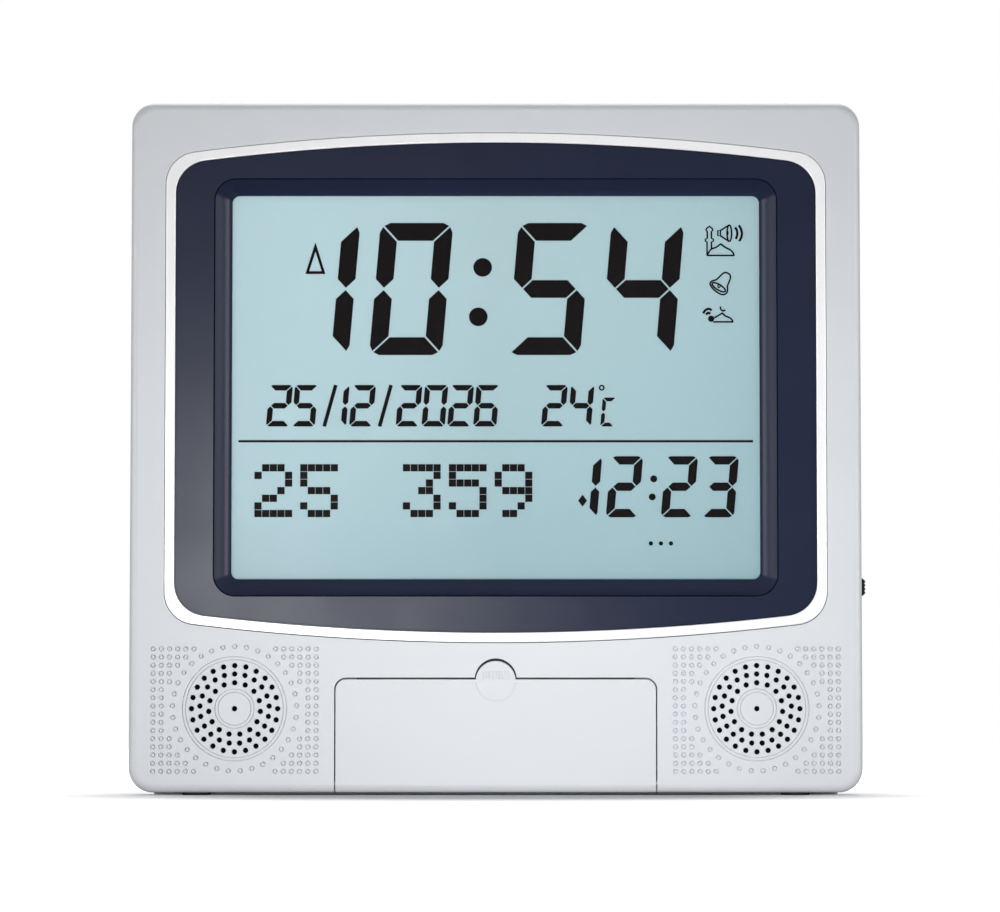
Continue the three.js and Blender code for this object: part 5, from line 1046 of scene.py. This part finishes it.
def back_cutters():
    """Solids that open the battery hollow, the leg's recess, the keyholes and the screw wells."""
    half, reach = BATTERY_ROOM
    low, high = COVER_LOW[2] - FIT_GAP, COVER_HIGH[2] + FIT_GAP
    rabbet = middle_box(COVER_HIGH[0] + FIT_GAP, low, high, COVER_CORNER_RADIUS + FIT_GAP, 6)
    room = centred_box(0, BATTERY_Z, 2 * half, 2 * reach, RIM_ROUNDING, 2)
    low, high = COVER_HIGH[2] - COVER_SHEET, COVER_HIGH[2] + SCOOP_HEIGHT
    scoop = middle_box(COVER_TAB[0], low, high, COVER_SHEET, 6)
    foot = LEG_BASE - FIT_GAP
    leg = middle_box(LEG_HALF_WIDTH + FIT_GAP, foot, LEG_RECESS_TOP, LEG_CORNER_RADIUS, 6)
    notch = arc(0, foot, LEG_NOTCH_RADIUS + FIT_GAP, 0, math.pi, 24)
    cutters = [
        opening(rabbet, CASE_BACK, CASE_BACK - COVER_SHEET),
        opening(room, CASE_BACK, BATTERY_ROOM_FLOOR),
        opening(scoop, CASE_BACK, CASE_BACK - SCOOP_DEPTH),
        opening(leg, CASE_BACK, LEG_RECESS_FLOOR),
        prism("notch", notch, LEG_NOTCH_FLOOR, LEG_RECESS_FLOOR + CASE_WALL),
        pin_cutter(LEG_PIVOT, LEG_PIN_RADIUS, LEG_HIGH[0]),
    ]
    inner = CASE_BACK - CASE_WALL
    for x in (-KEYHOLE_X, KEYHOLE_X):
        cutters.append(opening(keyhole_outline(x), CASE_BACK, inner - FIT_GAP))
        cutters.append(prism("room", keyhole_room(x), inner - KEYHOLE_POCKET_DEPTH, inner))
    bore = SCREW_SHANK_RADIUS + RIM_ROUNDING
    well = SCREW_HEAD_RADIUS + FIT_GAP
    profile = (
        (well, CASE_BACK + CASE_WALL), (well, SCREW_SEAT), (bore, SCREW_SEAT), (bore, PARTING - CASE_WALL),
    )
    return cutters + [turned("well", place, profile) for place in screw_places()]


def make_base_rib():
    """A low rib under the case, between its feet."""
    half, low, high = BASE_RIB_OUTLINE
    outline = middle_box(half, low, high, 2 * RIM_ROUNDING, 3)
    piece = slab("base_rib", outline, rounded_steps(*BASE_RIB_DEPTHS), True)
    register(piece, "case", "silver_case")


def cross_outline(x, z):
    """The cross slot in a screw's head."""
    reach, half = SCREW_CROSS
    cross = [(reach, half), (half, half), (half, reach)]
    for turn in range(3):
        cross += [(-up, across) for across, up in cross[-3:]]
    return [(x + across, z + up) for across, up in cross]


def make_case_screws():
    """Screws along Y with their heads at the back: point, shank, domed head and cross slot."""
    shank = SCREW_SHANK_RADIUS
    head = SCREW_HEAD_RADIUS
    for number in range(1, 5):
        name = f"case_screw_{number}"
        place = middle_of(name, 0, 2)
        front, back = [end[1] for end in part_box(name)]
        profile = (
            (shank / 3, front), (shank, front + shank), (shank, SCREW_SEAT), (head, SCREW_SEAT),
            (head, back - 0.5 * shank), (0.8 * head, back - 0.15 * shank), (0.4 * head, back),
        )
        piece = turned(f"{name}_body", place, profile)
        ends = (back - SCREW_CROSS_DEPTH, back + SCREW_CROSS_DEPTH)
        combine(piece, [prism("cross", cross_outline(*place), *ends)])
        register(piece, "case", "steel", name)


def middle_of(node, first, second):
    """The middle of a CAD node's box along two axes."""
    low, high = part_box(node)
    return (low[first] + high[first]) / 2, (low[second] + high[second]) / 2


def make_feet():
    for number in range(1, 5):
        name = f"rubber_foot_{number}"
        low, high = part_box(name)
        place = middle_of(name, 0, 1)
        radius = high[0] - place[0]
        profile = [(radius - grow, z) for grow, z in fillet(FOOT_ROUNDING, low[2], 1, 4)]
        piece = turned(f"{name}_pad", place, profile + [(radius, high[2])], True, "z", 32)
        register(piece, "case", "black_rubber", name)


def make_knob():
    """The side knob: a ribbed cap on a flange that runs behind the case's side."""
    front, back = KNOB_LOW[1] + KNOB_FLANGE, KNOB_HIGH[1] - KNOB_FLANGE
    piece = slab("side_knob", knob_outline(), rounded_steps(front, back))
    left = KNOB_LOW[0]
    flange = rounded_box(left, left + KNOB_FLANGE, KNOB_LOW[2], KNOB_HIGH[2], RIM_ROUNDING, 2)
    combine(piece, [prism("flange", flange, KNOB_LOW[1], KNOB_HIGH[1])], "UNION")
    register(piece, "side_switch", "black_plastic", "side_switch_knob")


# Keypad door and keys

def door_marks(shell):
    """The tab's lower edge line and its grip ribs, sunk in the door's face."""
    half = DOOR_GROOVE_WIDTH / 2
    start, end = [math.radians(angle) for angle in TAB_LINE_ANGLES]
    marks = [
        arc(0, DOOR_TAB_Z, DOOR_TAB_RADIUS + half, start, end, 40)
        + arc(0, DOOR_TAB_Z, DOOR_TAB_RADIUS - half, end, start, 40)
    ]
    width, height = GRIP_SIZE
    for i in range(GRIP_RIBS):
        x = (i - (GRIP_RIBS - 1) / 2) * GRIP_PITCH
        marks.append(centred_box(x, GRIP_Z, width, height, width / 2 - SLIVER, 3))
    return [dent(shell, mark, CASE_FRONT, CASE_FRONT + DOOR_MARK_DEPTH) for mark in marks]


def bottom_lift(depth):
    """How far the case's rounded bottom edge lies above its bottom at a depth behind the face."""
    reach = max(0.0, CASE_EDGE_RADIUS - depth)
    return CASE_EDGE_RADIUS - math.sqrt(CASE_EDGE_RADIUS ** 2 - reach ** 2)


def make_door():
    """The keypad door with its tab. Its lower edge follows the case's rounded bottom edge."""
    shell = Shell()
    outline = with_half_disc(door_outline(), DOOR_TOP_Z, DOOR_TAB_RADIUS, DOOR_TAB_Z)
    rings = []
    wall = [(0, DOOR_THICKNESS * quarter / 4) for quarter in (1, 2, 3, 4)]
    for grow, depth in fillet(DOOR_EDGE_ROUNDING, steps=4) + wall:
        lift = CASE_BOTTOM + bottom_lift(depth)
        ring = [(x, max(z, lift)) for x, z in grown(outline, -grow)]
        rings.append(shell.ring(ring, CASE_FRONT + depth))
    face, back = shell.chain(rings)
    shell.cover(face, *door_marks(shell))
    shell.cover(back)
    piece = shell_object("keypad_door", shell)
    combine(piece, door_fittings(CASE_FRONT + DOOR_THICKNESS), "UNION")
    register(piece, "door", "silver_case", "front_door")


def door_fittings(inner):
    """The lip under the door, the hinge lugs with their pins, and the latch tongue."""
    sunk = inner - FIT_GAP
    lip_end = CASE_FRONT + DOOR_LIP_DEPTH
    steps = [sunk + (lip_end - sunk) * i / 4 for i in range(5)]
    section = [(y, CASE_BOTTOM + bottom_lift(y - CASE_FRONT)) for y in steps]
    section += [(lip_end, CASE_BOTTOM + DOOR_THICKNESS), (sunk, CASE_BOTTOM + DOOR_THICKNESS)]
    reach = DOOR_HALF_WIDTH - FIT_GAP
    parts = [prism("lip", section, -reach, reach, axis="x")]
    end = DOOR_HALF_WIDTH - FIT_GAP / 2
    for side in (-1, 1):
        lug = (
            (DOOR_LUG_RADIUS, side * (end - DOOR_LUG_LENGTH)), (DOOR_LUG_RADIUS, side * end),
            (DOOR_PIN_RADIUS, side * end), (DOOR_PIN_RADIUS, side * DOOR_PIN_END),
        )
        parts.append(turned("lug", DOOR_HINGE, lug, axis="x"))
    latch = middle_box(LATCH_WIDTH / 2, *LATCH_HEIGHTS, RIM_ROUNDING, 3)
    return parts + [prism("latch", latch, *LATCH_DEPTHS)]


def button_places():
    return [(x, z) for z in BUTTON_ROWS for x in BUTTON_COLUMNS]


def make_pocket_shade_strip():
    """A black strip along the pocket's top edge and round its finger notch, behind the door's gap, as
    painted shade: it makes the gap show dark.
    """
    reach = DOOR_HALF_WIDTH - 2 * DOOR_CORNER_RADIUS
    paths = []
    for drop, lower in ((SLIVER, 0), (POCKET_SHADE_STRIP, POCKET_SHADE_STRIP)):
        top = POCKET_TOP_Z - drop
        middle, radius = NOTCH_Z - lower, NOTCH_RADIUS - drop
        start = math.asin((top - middle) / radius)
        bow = arc(0, middle, radius, math.pi - start, start, 32)
        paths.append([(-reach, top)] + bow + [(reach, top)])
    front, back = CASE_FRONT + POCKET_SHADE_STRIP, CASE_FRONT + 2 * DOOR_THICKNESS
    steps = rounded_steps(front, back, SLIVER, SLIVER)
    piece = slab("pocket_shade_strip", paths[0][::-1] + paths[1], steps, True)
    register(piece, "case", "black_rubber")


def make_keys():
    """Keypad buttons: rounded caps with a flange behind the panel, a stem and a sunk mark."""
    flange_front = CASE_FRONT + POCKET_DEPTH + POCKET_PANEL + BUTTON_GAP
    flange_back = flange_front + BUTTON_FLANGE_SHEET
    for number, ((x, z), (sides, size)) in enumerate(zip(button_places(), BUTTON_MARKS), 1):
        low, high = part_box(f"button_{number}")
        shell = Shell()
        cap = centred_box(x, z, BUTTON_WIDTH, BUTTON_HEIGHT, BUTTON_CORNER_RADIUS, 6)
        edge = [(-grow, y) for grow, y in fillet(BUTTON_EDGE_RADIUS, low[1], 1, 5)]
        face, cap_back = shell.sweep(cap, edge + [(0, flange_front)])
        near, far = shell.sweep(cap, [(BUTTON_FLANGE, flange_front), (BUTTON_FLANGE, flange_back)])
        root, tip = shell.sweep(circle(x, z, BUTTON_STEM_RADIUS), [(0, flange_back), (0, high[1])])
        mark = circle(x, z, BUTTON_MARK_RADIUS * size, sides)
        shell.cover(face, dent(shell, mark, low[1], low[1] + DOOR_MARK_DEPTH))
        shell.cover(near, cap_back)
        shell.cover(far, root)
        shell.cover(tip)
        piece = shell_object(f"key_cap_{number}", shell, True)
        register(piece, f"key_{number}", "grey_buttons", f"button_{number}")


# Battery compartment and rear stand

def marked_plate(name, outline, front, back, marks, depth, rounding):
    """A plate with rounded edges and shallow hollows in its back face."""
    shell = Shell()
    near, face = shell.sweep(outline, rounded_steps(front, back, RIM_ROUNDING, 2 * RIM_ROUNDING))
    hollows = [dent(shell, mark, back, back - depth, rounding) for mark in marks]
    shell.cover(near)
    shell.cover(face, *hollows)
    return shell_object(name, shell)


def make_battery_cover():
    """The battery door: grip lines, an arrow that points the way it slides, and its upper tab."""
    front, back = COVER_HIGH[1] - COVER_SHEET, COVER_HIGH[1]
    outline = middle_box(COVER_HIGH[0], COVER_LOW[2], COVER_HIGH[2], COVER_CORNER_RADIUS, 8)
    half, reach = COVER_GRIP
    marks = [centred_box(0, BATTERY_Z + rise, 2 * half, 2 * reach, 0.9 * reach, 5) for rise in COVER_GRIP_Z]
    marks.append([(x * reach, BATTERY_Z + COVER_ARROW_Z + z * reach) for x, z in COVER_ARROW])
    name = "battery_cover_plate"
    piece = marked_plate(name, outline, front, back, marks, COVER_SHEET / 4, DENT_ROUNDING)
    half, low, high = COVER_TAB
    tab = middle_box(half, BATTERY_Z + low, BATTERY_Z + high, RIM_ROUNDING, 3)
    combine(piece, [prism("tab", tab, COVER_LOW[1], front + COVER_SHEET / 2)], "UNION")
    register(piece, "battery_cover", "silver_case", "battery_door")


def make_leg():
    """The stand leg: a plate with three long panels, hung on a barrel with two pins."""
    wide = LEG_PANEL_HALF_WIDTH
    panels = [rounded_box(x - wide, x + wide, *LEG_PANEL_HEIGHTS, wide / 2, 6) for x in LEG_PANELS]
    piece = marked_plate("stand_plate", leg_outline(), *LEG_FACES, panels, LEG_PANEL_DEPTH, RIM_ROUNDING)
    half = LEG_HALF_WIDTH
    profile = (
        (LEG_PIN_RADIUS, LEG_LOW[0]), (LEG_PIN_RADIUS, -half), (LEG_BARREL_RADIUS, -half),
        (LEG_BARREL_RADIUS, half), (LEG_PIN_RADIUS, half), (LEG_PIN_RADIUS, LEG_HIGH[0]),
    )
    combine(piece, [turned("barrel", LEG_PIVOT, profile, axis="x")], "UNION")
    register(piece, "stand", "silver_case", "stand_leg")


def make_cells():
    """Cells along X: a steel core with its nub, in a jacket of its own."""
    nub_radius, nub_length = BATTERY_NUB
    radius = BATTERY_RADIUS
    sheet = JACKET_SHEET
    for number, side in zip((1, 2, 3), (1, -1, 1)):
        name = f"battery_{number}"
        low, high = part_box(name)
        place = (BATTERY_Y, middle_of(name, 0, 2)[1])
        base, tip = (low[0], high[0])[::side]
        shoulder = tip - side * nub_length
        step = side * sheet
        core = (
            (radius - 4 * sheet, base), (radius - sheet, base + 3 * step),
            (radius - sheet, shoulder - 3 * step), (radius - 4 * sheet, shoulder),
            (nub_radius, shoulder), (nub_radius, tip - step), (nub_radius - sheet, tip),
        )
        piece = turned(f"cell_core_{number}", place, core, True, "x", CELL_STEPS)
        register(piece, "case", "steel")
        start, end = base + 2 * step, shoulder - 2 * step
        section = (
            (radius - 2 * sheet, start), (radius - sheet / 2, start - step), (radius, start + step),
            (radius, end - step), (radius - sheet / 2, end + step), (radius - 2 * sheet, end),
        )
        outlines = [(circle(*place, size, CELL_STEPS), x) for size, x in section]
        register(band(f"cell_jacket_{number}", outlines, "x"), "case", "cell_jacket", name)


def spring(place, start, end):
    """A conical coil of wire along X, from its wide end to its narrow one."""
    coil = Shell()
    rings = []
    wide, narrow = SPRING_RADII
    for i in range(SPRING_TURNS * TURN_STEPS + 1):
        share = i / (SPRING_TURNS * TURN_STEPS)
        turn = 2 * math.pi * i / TURN_STEPS
        radius = wide + (narrow - wide) * share
        middle = start + (end - start) * share
        rings.append(coil.add([
            (middle + along, place[0] + reach * math.cos(turn), place[1] + reach * math.sin(turn))
            for reach, along in circle(radius, 0, SPRING_WIRE, 6)
        ]))
    coil.faces += coil.chain(rings)
    return make_object("spring", coil.points, coil.faces)


def make_contacts():
    """Spring steel sheets at the ends of the cells, with a bump or a coil for each cell."""
    wide, narrow = SPRING_RADII
    for number, side, cells in CONTACTS:
        name = f"battery_contact_{number}"
        low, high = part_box(name)
        wall = side * BATTERY_ROOM[0]
        face = wall - side * CONTACT_SHEET
        tip = low[0] if side > 0 else high[0]
        outline = rounded_box(low[1], high[1], low[2], high[2], 5 * RIM_ROUNDING, 5)
        piece = prism(f"{name}_sheet", outline, wall, face, "x")
        parts = []
        for cell, coiled in cells:
            place = (BATTERY_Y, BATTERY_Z + (2 - cell) * BATTERY_PITCH)
            dome = ((wide, (wall + face) / 2), (wide, face), (narrow, tip), (narrow / 2, tip))
            if coiled:
                parts.append(spring(place, face, tip + side * SPRING_WIRE))
            else:
                parts.append(turned("bump", place, dome, axis="x"))
        combine(piece, parts, "UNION")
        register(piece, "case", "steel", name)


# Trim band and bezel

def make_trim():
    """The white band, and a black strip under it that is painted shade: it shows as a dark line in the gap
    round the band.
    """
    front = TRIM_LOW[1]
    back = CASE_FRONT + WELL_DEPTH - RIM_ROUNDING
    edge = fillet(TRIM_EDGE_RADIUS, front)[::-1]
    profile = [(0, back)] + edge + [(TRIM_BAND - grow, y) for grow, y in edge[::-1]] + [(TRIM_BAND, back)]
    piece = band("trim_band", [(arched_outline(inset), y) for inset, y in profile])
    register(piece, "case", "white_trim", "trim_ring")
    # A black strip in the gap round the band, as painted shade
    front += GAP_SHADE_DEPTH
    rim, inner = -WELL_GAP / 2, TRIM_BAND / 3
    profile = ((rim, front), (rim, back), (inner, back), (inner, front))
    outlines = [(moved_down(arched_outline(inset), WELL_GAP / 2), y) for inset, y in profile]
    register(band("trim_gap_shade", outlines), "case", "black_rubber")


def make_bezel():
    """The navy face plate with a fine groove round its recess, and the recess's sloped wall."""
    shell = Shell()
    front, back = BEZEL_LOW[1], BEZEL_HIGH[1]
    plate_back = CASE_FRONT + WELL_DEPTH - HAIR_GAP
    edge = TRIM_BAND + BEZEL_GAP
    seat = TRIM_BAND + HAIR_GAP
    ledge = front + BEZEL_GAP
    rim = [(edge + grow, y) for grow, y in fillet(RIM_ROUNDING / 2, front, 1, 3)]
    rim += [(edge, ledge), (seat, ledge), (seat, plate_back)]
    face, plate_edge = shell.chain([shell.ring(arched_outline(inset), y) for inset, y in rim])
    funnel_front, funnel_back = shell.sweep(funnel_outline(), [(0, plate_back), (0, back)])

    small = RIM_ROUNDING / 3
    deep = RECESS_GROOVE
    groove = ((deep + small, 0), (deep, small), (deep / 2, 2 * deep))
    rings = [shell.ring(grown(slope_outline(0), grow), front + depth) for grow, depth in groove]
    rings += [
        shell.ring(slope_outline(share), front + drop * RECESS_SLOPE_DEPTH) for share, drop in SLOPE
    ]
    window = window_outline(0, WINDOW_CORNER_RADIUS, WINDOW_RISE)
    rings += [shell.ring(window, y) for y in (front + RECESS_SLOPE_DEPTH + small, back)]
    recess_face, window_back = shell.chain(rings)
    shell.cover(face, recess_face)
    shell.cover(plate_edge, funnel_front)
    shell.cover(funnel_back, window_back)
    register(shell_object("bezel_frame", shell, True), "case", "navy_bezel", "bezel")


# Display

class Artwork(Shell):
    """Thin inked areas on the front of the display glass."""

    def area(self, outline, hole=()):
        """An inked area, with a hole in it where one is given."""
        rings = []
        for y in (INK_FRONT, INK_ROOT):
            rings.append([self.ring(loop, y) for loop in (outline, hole) if loop])
            self.cover(*rings[-1])
        for front, root in zip(*rings):
            self.join(front, root)

    def line(self, points, width, closed=False):
        """An inked line of even width through the points."""
        left, right = [line_side(points, reach, closed) for reach in (width / 2, -width / 2)]
        sections = []
        for (x1, z1), (x2, z2) in zip(left, right):
            corners = ((x1, INK_FRONT, z1), (x2, INK_FRONT, z2), (x2, INK_ROOT, z2), (x1, INK_ROOT, z1))
            sections.append(self.add(corners))
        self.chain(sections + sections[:1] if closed else sections)
        if not closed:
            self.faces += [sections[0], sections[-1][::-1]]


def line_side(points, reach, closed):
    """The points moved sideways off the line that they make."""
    side = []
    last = len(points) - 1
    for i, point in enumerate(points):
        before = points[i - 1] if closed or i else point
        after = points[(i + 1) % len(points)] if closed or i < last else point
        along = (Vector(after) - Vector(before)).normalized()
        side.append((point[0] - along.y * reach, point[1] + along.x * reach))
    return side


def smooth(points, closed=False, steps=6):
    """A curve through the points."""
    count = len(points)
    line = []
    for i in range(count if closed else count - 1):
        near = [i - 1, i, i + 1, i + 2]
        near = [k % count if closed else min(max(k, 0), count - 1) for k in near]
        a, b, c, d = [Vector(points[k]) for k in near]
        for step in range(steps):
            t = step / steps
            line.append(tuple(
                0.5 * (2 * b + (c - a) * t + (2 * a - 5 * b + 4 * c - d) * t ** 2
                       + (3 * b - a - 3 * c + d) * t ** 3)
            ))
    return line if closed else line + [points[-1]]


def oval(centre, radii, tilt, steps=28):
    turn = math.radians(tilt)
    points = []
    for x, z in circle(0, 0, 1, steps):
        x, z = x * radii[0], z * radii[1]
        points.append((
            centre[0] + x * math.cos(turn) - z * math.sin(turn),
            centre[1] + x * math.sin(turn) + z * math.cos(turn),
        ))
    return points


def on_window(points):
    """Places in millimetres from the window's centre, as places in the frame."""
    return [(x / 1000, WINDOW_Z + z / 1000) for x, z in points]


def digit_outlines(row, character, share):
    """Outlines of one digit's lit segments. The share gives its left edge at its middle height."""
    height = WINDOW_HEIGHT * row["height"]
    width = WINDOW_WIDTH * row["width"]
    stroke = height * row["stroke"]
    gap = height * row["joint"] / math.sqrt(2)
    bend = SEGMENT_ROUND_SHARE * stroke
    cut_in = bend * (1 - math.sqrt(0.5))
    half = height / 2
    top = [
        (bend, half), (width - bend, half), (width - cut_in - gap, half - cut_in),
        (width - stroke - gap, half - stroke), (stroke + gap, half - stroke), (cut_in + gap, half - cut_in),
    ]
    upper_left = [
        (0, half - bend), (cut_in, half - cut_in - gap), (stroke, half - stroke - gap),
        (stroke, stroke / 2 + gap), (stroke / 2, gap), (0, stroke / 2 + gap),
    ]
    middle = [
        (stroke / 2 + gap, 0), (stroke + gap, stroke / 2), (width - stroke - gap, stroke / 2),
        (width - stroke / 2 - gap, 0), (width - stroke - gap, -stroke / 2), (stroke + gap, -stroke / 2),
    ]
    upper_right = [(width - x, z) for x, z in upper_left]
    shapes = {
        "a": top, "b": upper_right, "c": [(x, -z) for x, z in upper_right],
        "d": [(x, -z) for x, z in top], "e": [(x, -z) for x, z in upper_left],
        "f": upper_left, "g": middle,
    }
    left = WINDOW_WIDTH * share
    middle_z = WINDOW_Z + WINDOW_HEIGHT * row["middle"]
    return [
        [(left + x + ARTWORK_SLANT * z, middle_z + z) for x, z in shapes[letter]]
        for letter in SEGMENTS[character]
    ]


def draw_digits(art, row, digits):
    for character, share in digits:
        for outline in digit_outlines(row, character, share):
            art.area(outline)


def draw_colon(art, row, colon):
    middle_z = WINDOW_Z + WINDOW_HEIGHT * (row["middle"] - colon["radius"] / 3)
    rise = WINDOW_HEIGHT * colon["spread"]
    for side in (1, -1):
        x = WINDOW_WIDTH * colon["x"] + ARTWORK_SLANT * side * rise
        art.area(circle(x, middle_z + side * rise, WINDOW_HEIGHT * colon["radius"], 32))


def draw_date_marks(art):
    half = WINDOW_HEIGHT * DATE_ROW["height"] / 2
    middle_z = WINDOW_Z + WINDOW_HEIGHT * DATE_ROW["middle"]
    lean = SLASH_LEAN * half
    for share in SLASHES:
        x = WINDOW_WIDTH * share
        art.line([(x - lean, middle_z - half), (x + lean, middle_z + half)], WINDOW_WIDTH * SLASH_STROKE)
    ring_x = WINDOW_WIDTH * DEGREE_RING["x"]
    ring_z = WINDOW_Z + WINDOW_HEIGHT * DEGREE_RING["z"]
    outer, bore = [circle(ring_x, ring_z, WINDOW_HEIGHT * DEGREE_RING[k], 24) for k in ("radius", "bore")]
    art.area(outer, bore)
    z = WINDOW_Z + WINDOW_HEIGHT * RULE_LINE["z"]
    ends = [(WINDOW_WIDTH * RULE_LINE[k], z) for k in ("left", "right")]
    art.line(ends, WINDOW_HEIGHT * RULE_LINE["thickness"])


def draw_matrix(art):
    """The figures made of small squares."""
    pitch = WINDOW_WIDTH * MATRIX_PITCH
    dot = pitch * MATRIX_DOT
    top = WINDOW_Z + WINDOW_HEIGHT * MATRIX_TOP
    for left, rows in zip(MATRIX_LEFTS, MATRIX_DIGITS):
        lit = [(row, k) for row, line in enumerate(rows) for k, mark in enumerate(line) if mark == "#"]
        for row, column in lit:
            x = WINDOW_WIDTH * left + (column + 0.5) * pitch
            z = top - (row + 0.5) * pitch
            art.area([(x + dx * dot / 2, z + dz * dot / 2) for dx, dz in SQUARE])


def draw_icons(art):
    """The pictograms, the marks beside the times and the three dots."""
    dome = smooth(DOME[:5]) + smooth(DOME[4:])[1:]
    small_dome = smooth(SMALL_DOME[:3]) + smooth(SMALL_DOME[2:])[1:] + [SMALL_DOME_END]
    for points in (TOWER, HORN_TOP, HORN_LOW, small_dome, smooth(CRESCENT)):
        art.line(on_window(points), ICON_LINE / 1000)
    for points in (dome, HORN_BOX, oval(*HORN_MOUTH), smooth(BELL, True), oval(*BELL_MOUTH)):
        art.line(on_window(points), ICON_LINE / 1000, True)
    for points in HORN_WAVES + SPEECH_WAVES:
        art.line(on_window(smooth(points)), WAVE_LINE / 1000)
    art.line(on_window(oval(*BELL_CLAPPER, 16)), CLAPPER_LINE / 1000, True)
    across, up = DAY_MARK_MIDDLE
    hole = [(across + DAY_MARK_HOLE * (x - across), up + DAY_MARK_HOLE * (z - up)) for x, z in DAY_MARK]
    art.area(on_window(DAY_MARK), on_window(hole))
    dots = [circle(x, z, NAME_DOT_RADIUS) for x, z in NAME_DOTS]
    for outline in (oval(*HORN_THROAT), oval(*SPEECH_BALL), NIGHT_MARK, *dots):
        art.area(on_window(outline))


def make_display():
    """The inked figures and marks, and the display's face behind them."""
    art = Artwork()
    draw_digits(art, TIME_ROW, TIME_DIGITS)
    draw_digits(art, DATE_ROW, DATE_DIGITS)
    draw_digits(art, UNIT_ROW, UNIT_DIGITS)
    draw_digits(art, ALARM_ROW, ALARM_DIGITS)
    draw_colon(art, TIME_ROW, TIME_COLON)
    draw_colon(art, ALARM_ROW, ALARM_COLON)
    draw_date_marks(art)
    draw_matrix(art)
    draw_icons(art)
    register(shell_object("display_artwork", art), "case", "display_glass", finish=INK)
    low, high = GLASS_LOW, GLASS_HIGH
    chamfer = PANEL_CHAMFER
    outline = rounded_box(low[0], high[0], low[2], high[2], PANEL_CORNER_RADIUS, 3)
    piece = slab("display_panel", outline, [
        (-chamfer, GLASS_FRONT), (0, GLASS_FRONT + chamfer), (0, high[1] - chamfer), (-chamfer, high[1]),
    ], True)
    register(piece, "case", "display_glass", "display_front_glass")


# CAD nodes that keep their shape

def dress_frame():
    """Gives each CAD node the finish of its material slot, but the speaker frames the paper cone's finish.
    """
    for part in frame["record"]["subparts"]:
        mesh = frame["nodes"][part["node"]].data
        mesh.materials.clear()
        dark = part["node"].startswith("speaker_frame")
        mesh.materials.append(FINISHES["speaker_cone" if dark else part["material_slot"]])


# Studio

def make_studio():
    """A pale floor, and a world that is white where it is seen and dim as a light."""
    corners = [(x * FLOOR_REACH, y * FLOOR_REACH, 0) for x, y in SQUARE]
    floor = make_object("studio_floor", corners, [(0, 1, 2, 3)])
    floor.data.materials.append(floor_material())
    world = bpy.data.worlds.new("studio")
    bpy.context.scene.world = world
    world.use_nodes = True
    tree = world.node_tree
    path = add(tree, "LightPath").outputs
    seen = add_math(tree, "MAXIMUM", path["Is Camera Ray"], path["Is Glossy Ray"])
    seen = add_math(tree, "MAXIMUM", seen, path["Is Transmission Ray"])
    level = add(tree, "MapRange", {"Value": seen, "To Min": WORLD_LIGHT, "To Max": 1.0})
    feed(tree, tree.nodes["Background"], {"Color": (1, 1, 1, 1), "Strength": level.outputs["Result"]})


def floor_material():
    """Pale floor. Away from the clock it fades to white for the camera, and near it keeps its shadow."""
    material, tree, shader = new_material("pale_floor")
    place = add(tree, "TexCoord").outputs["Object"]
    reach = add(tree, "VectorMath", {0: place})
    reach.operation = "LENGTH"
    fade = add(tree, "MapRange", {
        "Value": reach.outputs["Value"], "From Min": FLOOR_NEAR, "From Max": FLOOR_FAR,
        "To Min": FLOOR_LIFT_NEAR, "To Max": 1.0,
    })
    fade.interpolation_type = "SMOOTHSTEP"
    seen = add(tree, "LightPath").outputs["Is Camera Ray"]
    feed(tree, shader, {
        "Base Color": FLOOR_COLOUR, "Roughness": 0.9, "Specular IOR Level": 0.0,
        "Emission Color": (1, 1, 1, 1),
        "Emission Strength": add_math(tree, "MULTIPLY", fade.outputs["Result"], seen),
    })
    return material


def area_light(name, place, target, size, radiance, glossy=True, diffuse=True):
    """A soft rectangular lamp, given by the radiance of its face."""
    data = bpy.data.lights.new(name, "AREA")
    data.shape = "RECTANGLE"
    data.size, data.size_y = size
    data.energy = radiance * math.pi * size[0] * size[1]
    lamp = bpy.data.objects.new(name, data)
    lamp.location = place
    lamp.rotation_euler = (Vector(target) - Vector(place)).to_track_quat("-Z", "Y").to_euler()
    lamp.visible_camera = False
    lamp.visible_glossy = glossy
    lamp.visible_diffuse = diffuse
    bpy.context.scene.collection.objects.link(lamp)


def make_lights():
    for lamp in LAMPS:
        area_light(*lamp)


def make_camera():
    data = bpy.data.cameras.new("camera")
    data.lens = CAMERA_LENS
    data.sensor_width = 36
    data.sensor_fit = "HORIZONTAL"
    camera = bpy.data.objects.new("camera", data)
    camera.location = CAMERA_PLACE
    camera.rotation_euler = (math.radians(CAMERA_TILT), 0, 0)
    bpy.context.scene.collection.objects.link(camera)
    bpy.context.scene.camera = camera


def main():
    bpy.context.scene.view_settings.view_transform = "Standard"
    steps = (
        make_camera, make_studio, make_lights, dress_frame, make_case_front, make_case_back, make_base_rib,
        make_trim, make_pocket_shade_strip, make_bezel, make_display, make_door, make_keys, make_knob,
        make_battery_cover, make_leg, make_cells, make_contacts, make_case_screws, make_feet,
    )
    for step in steps:
        step()


main()
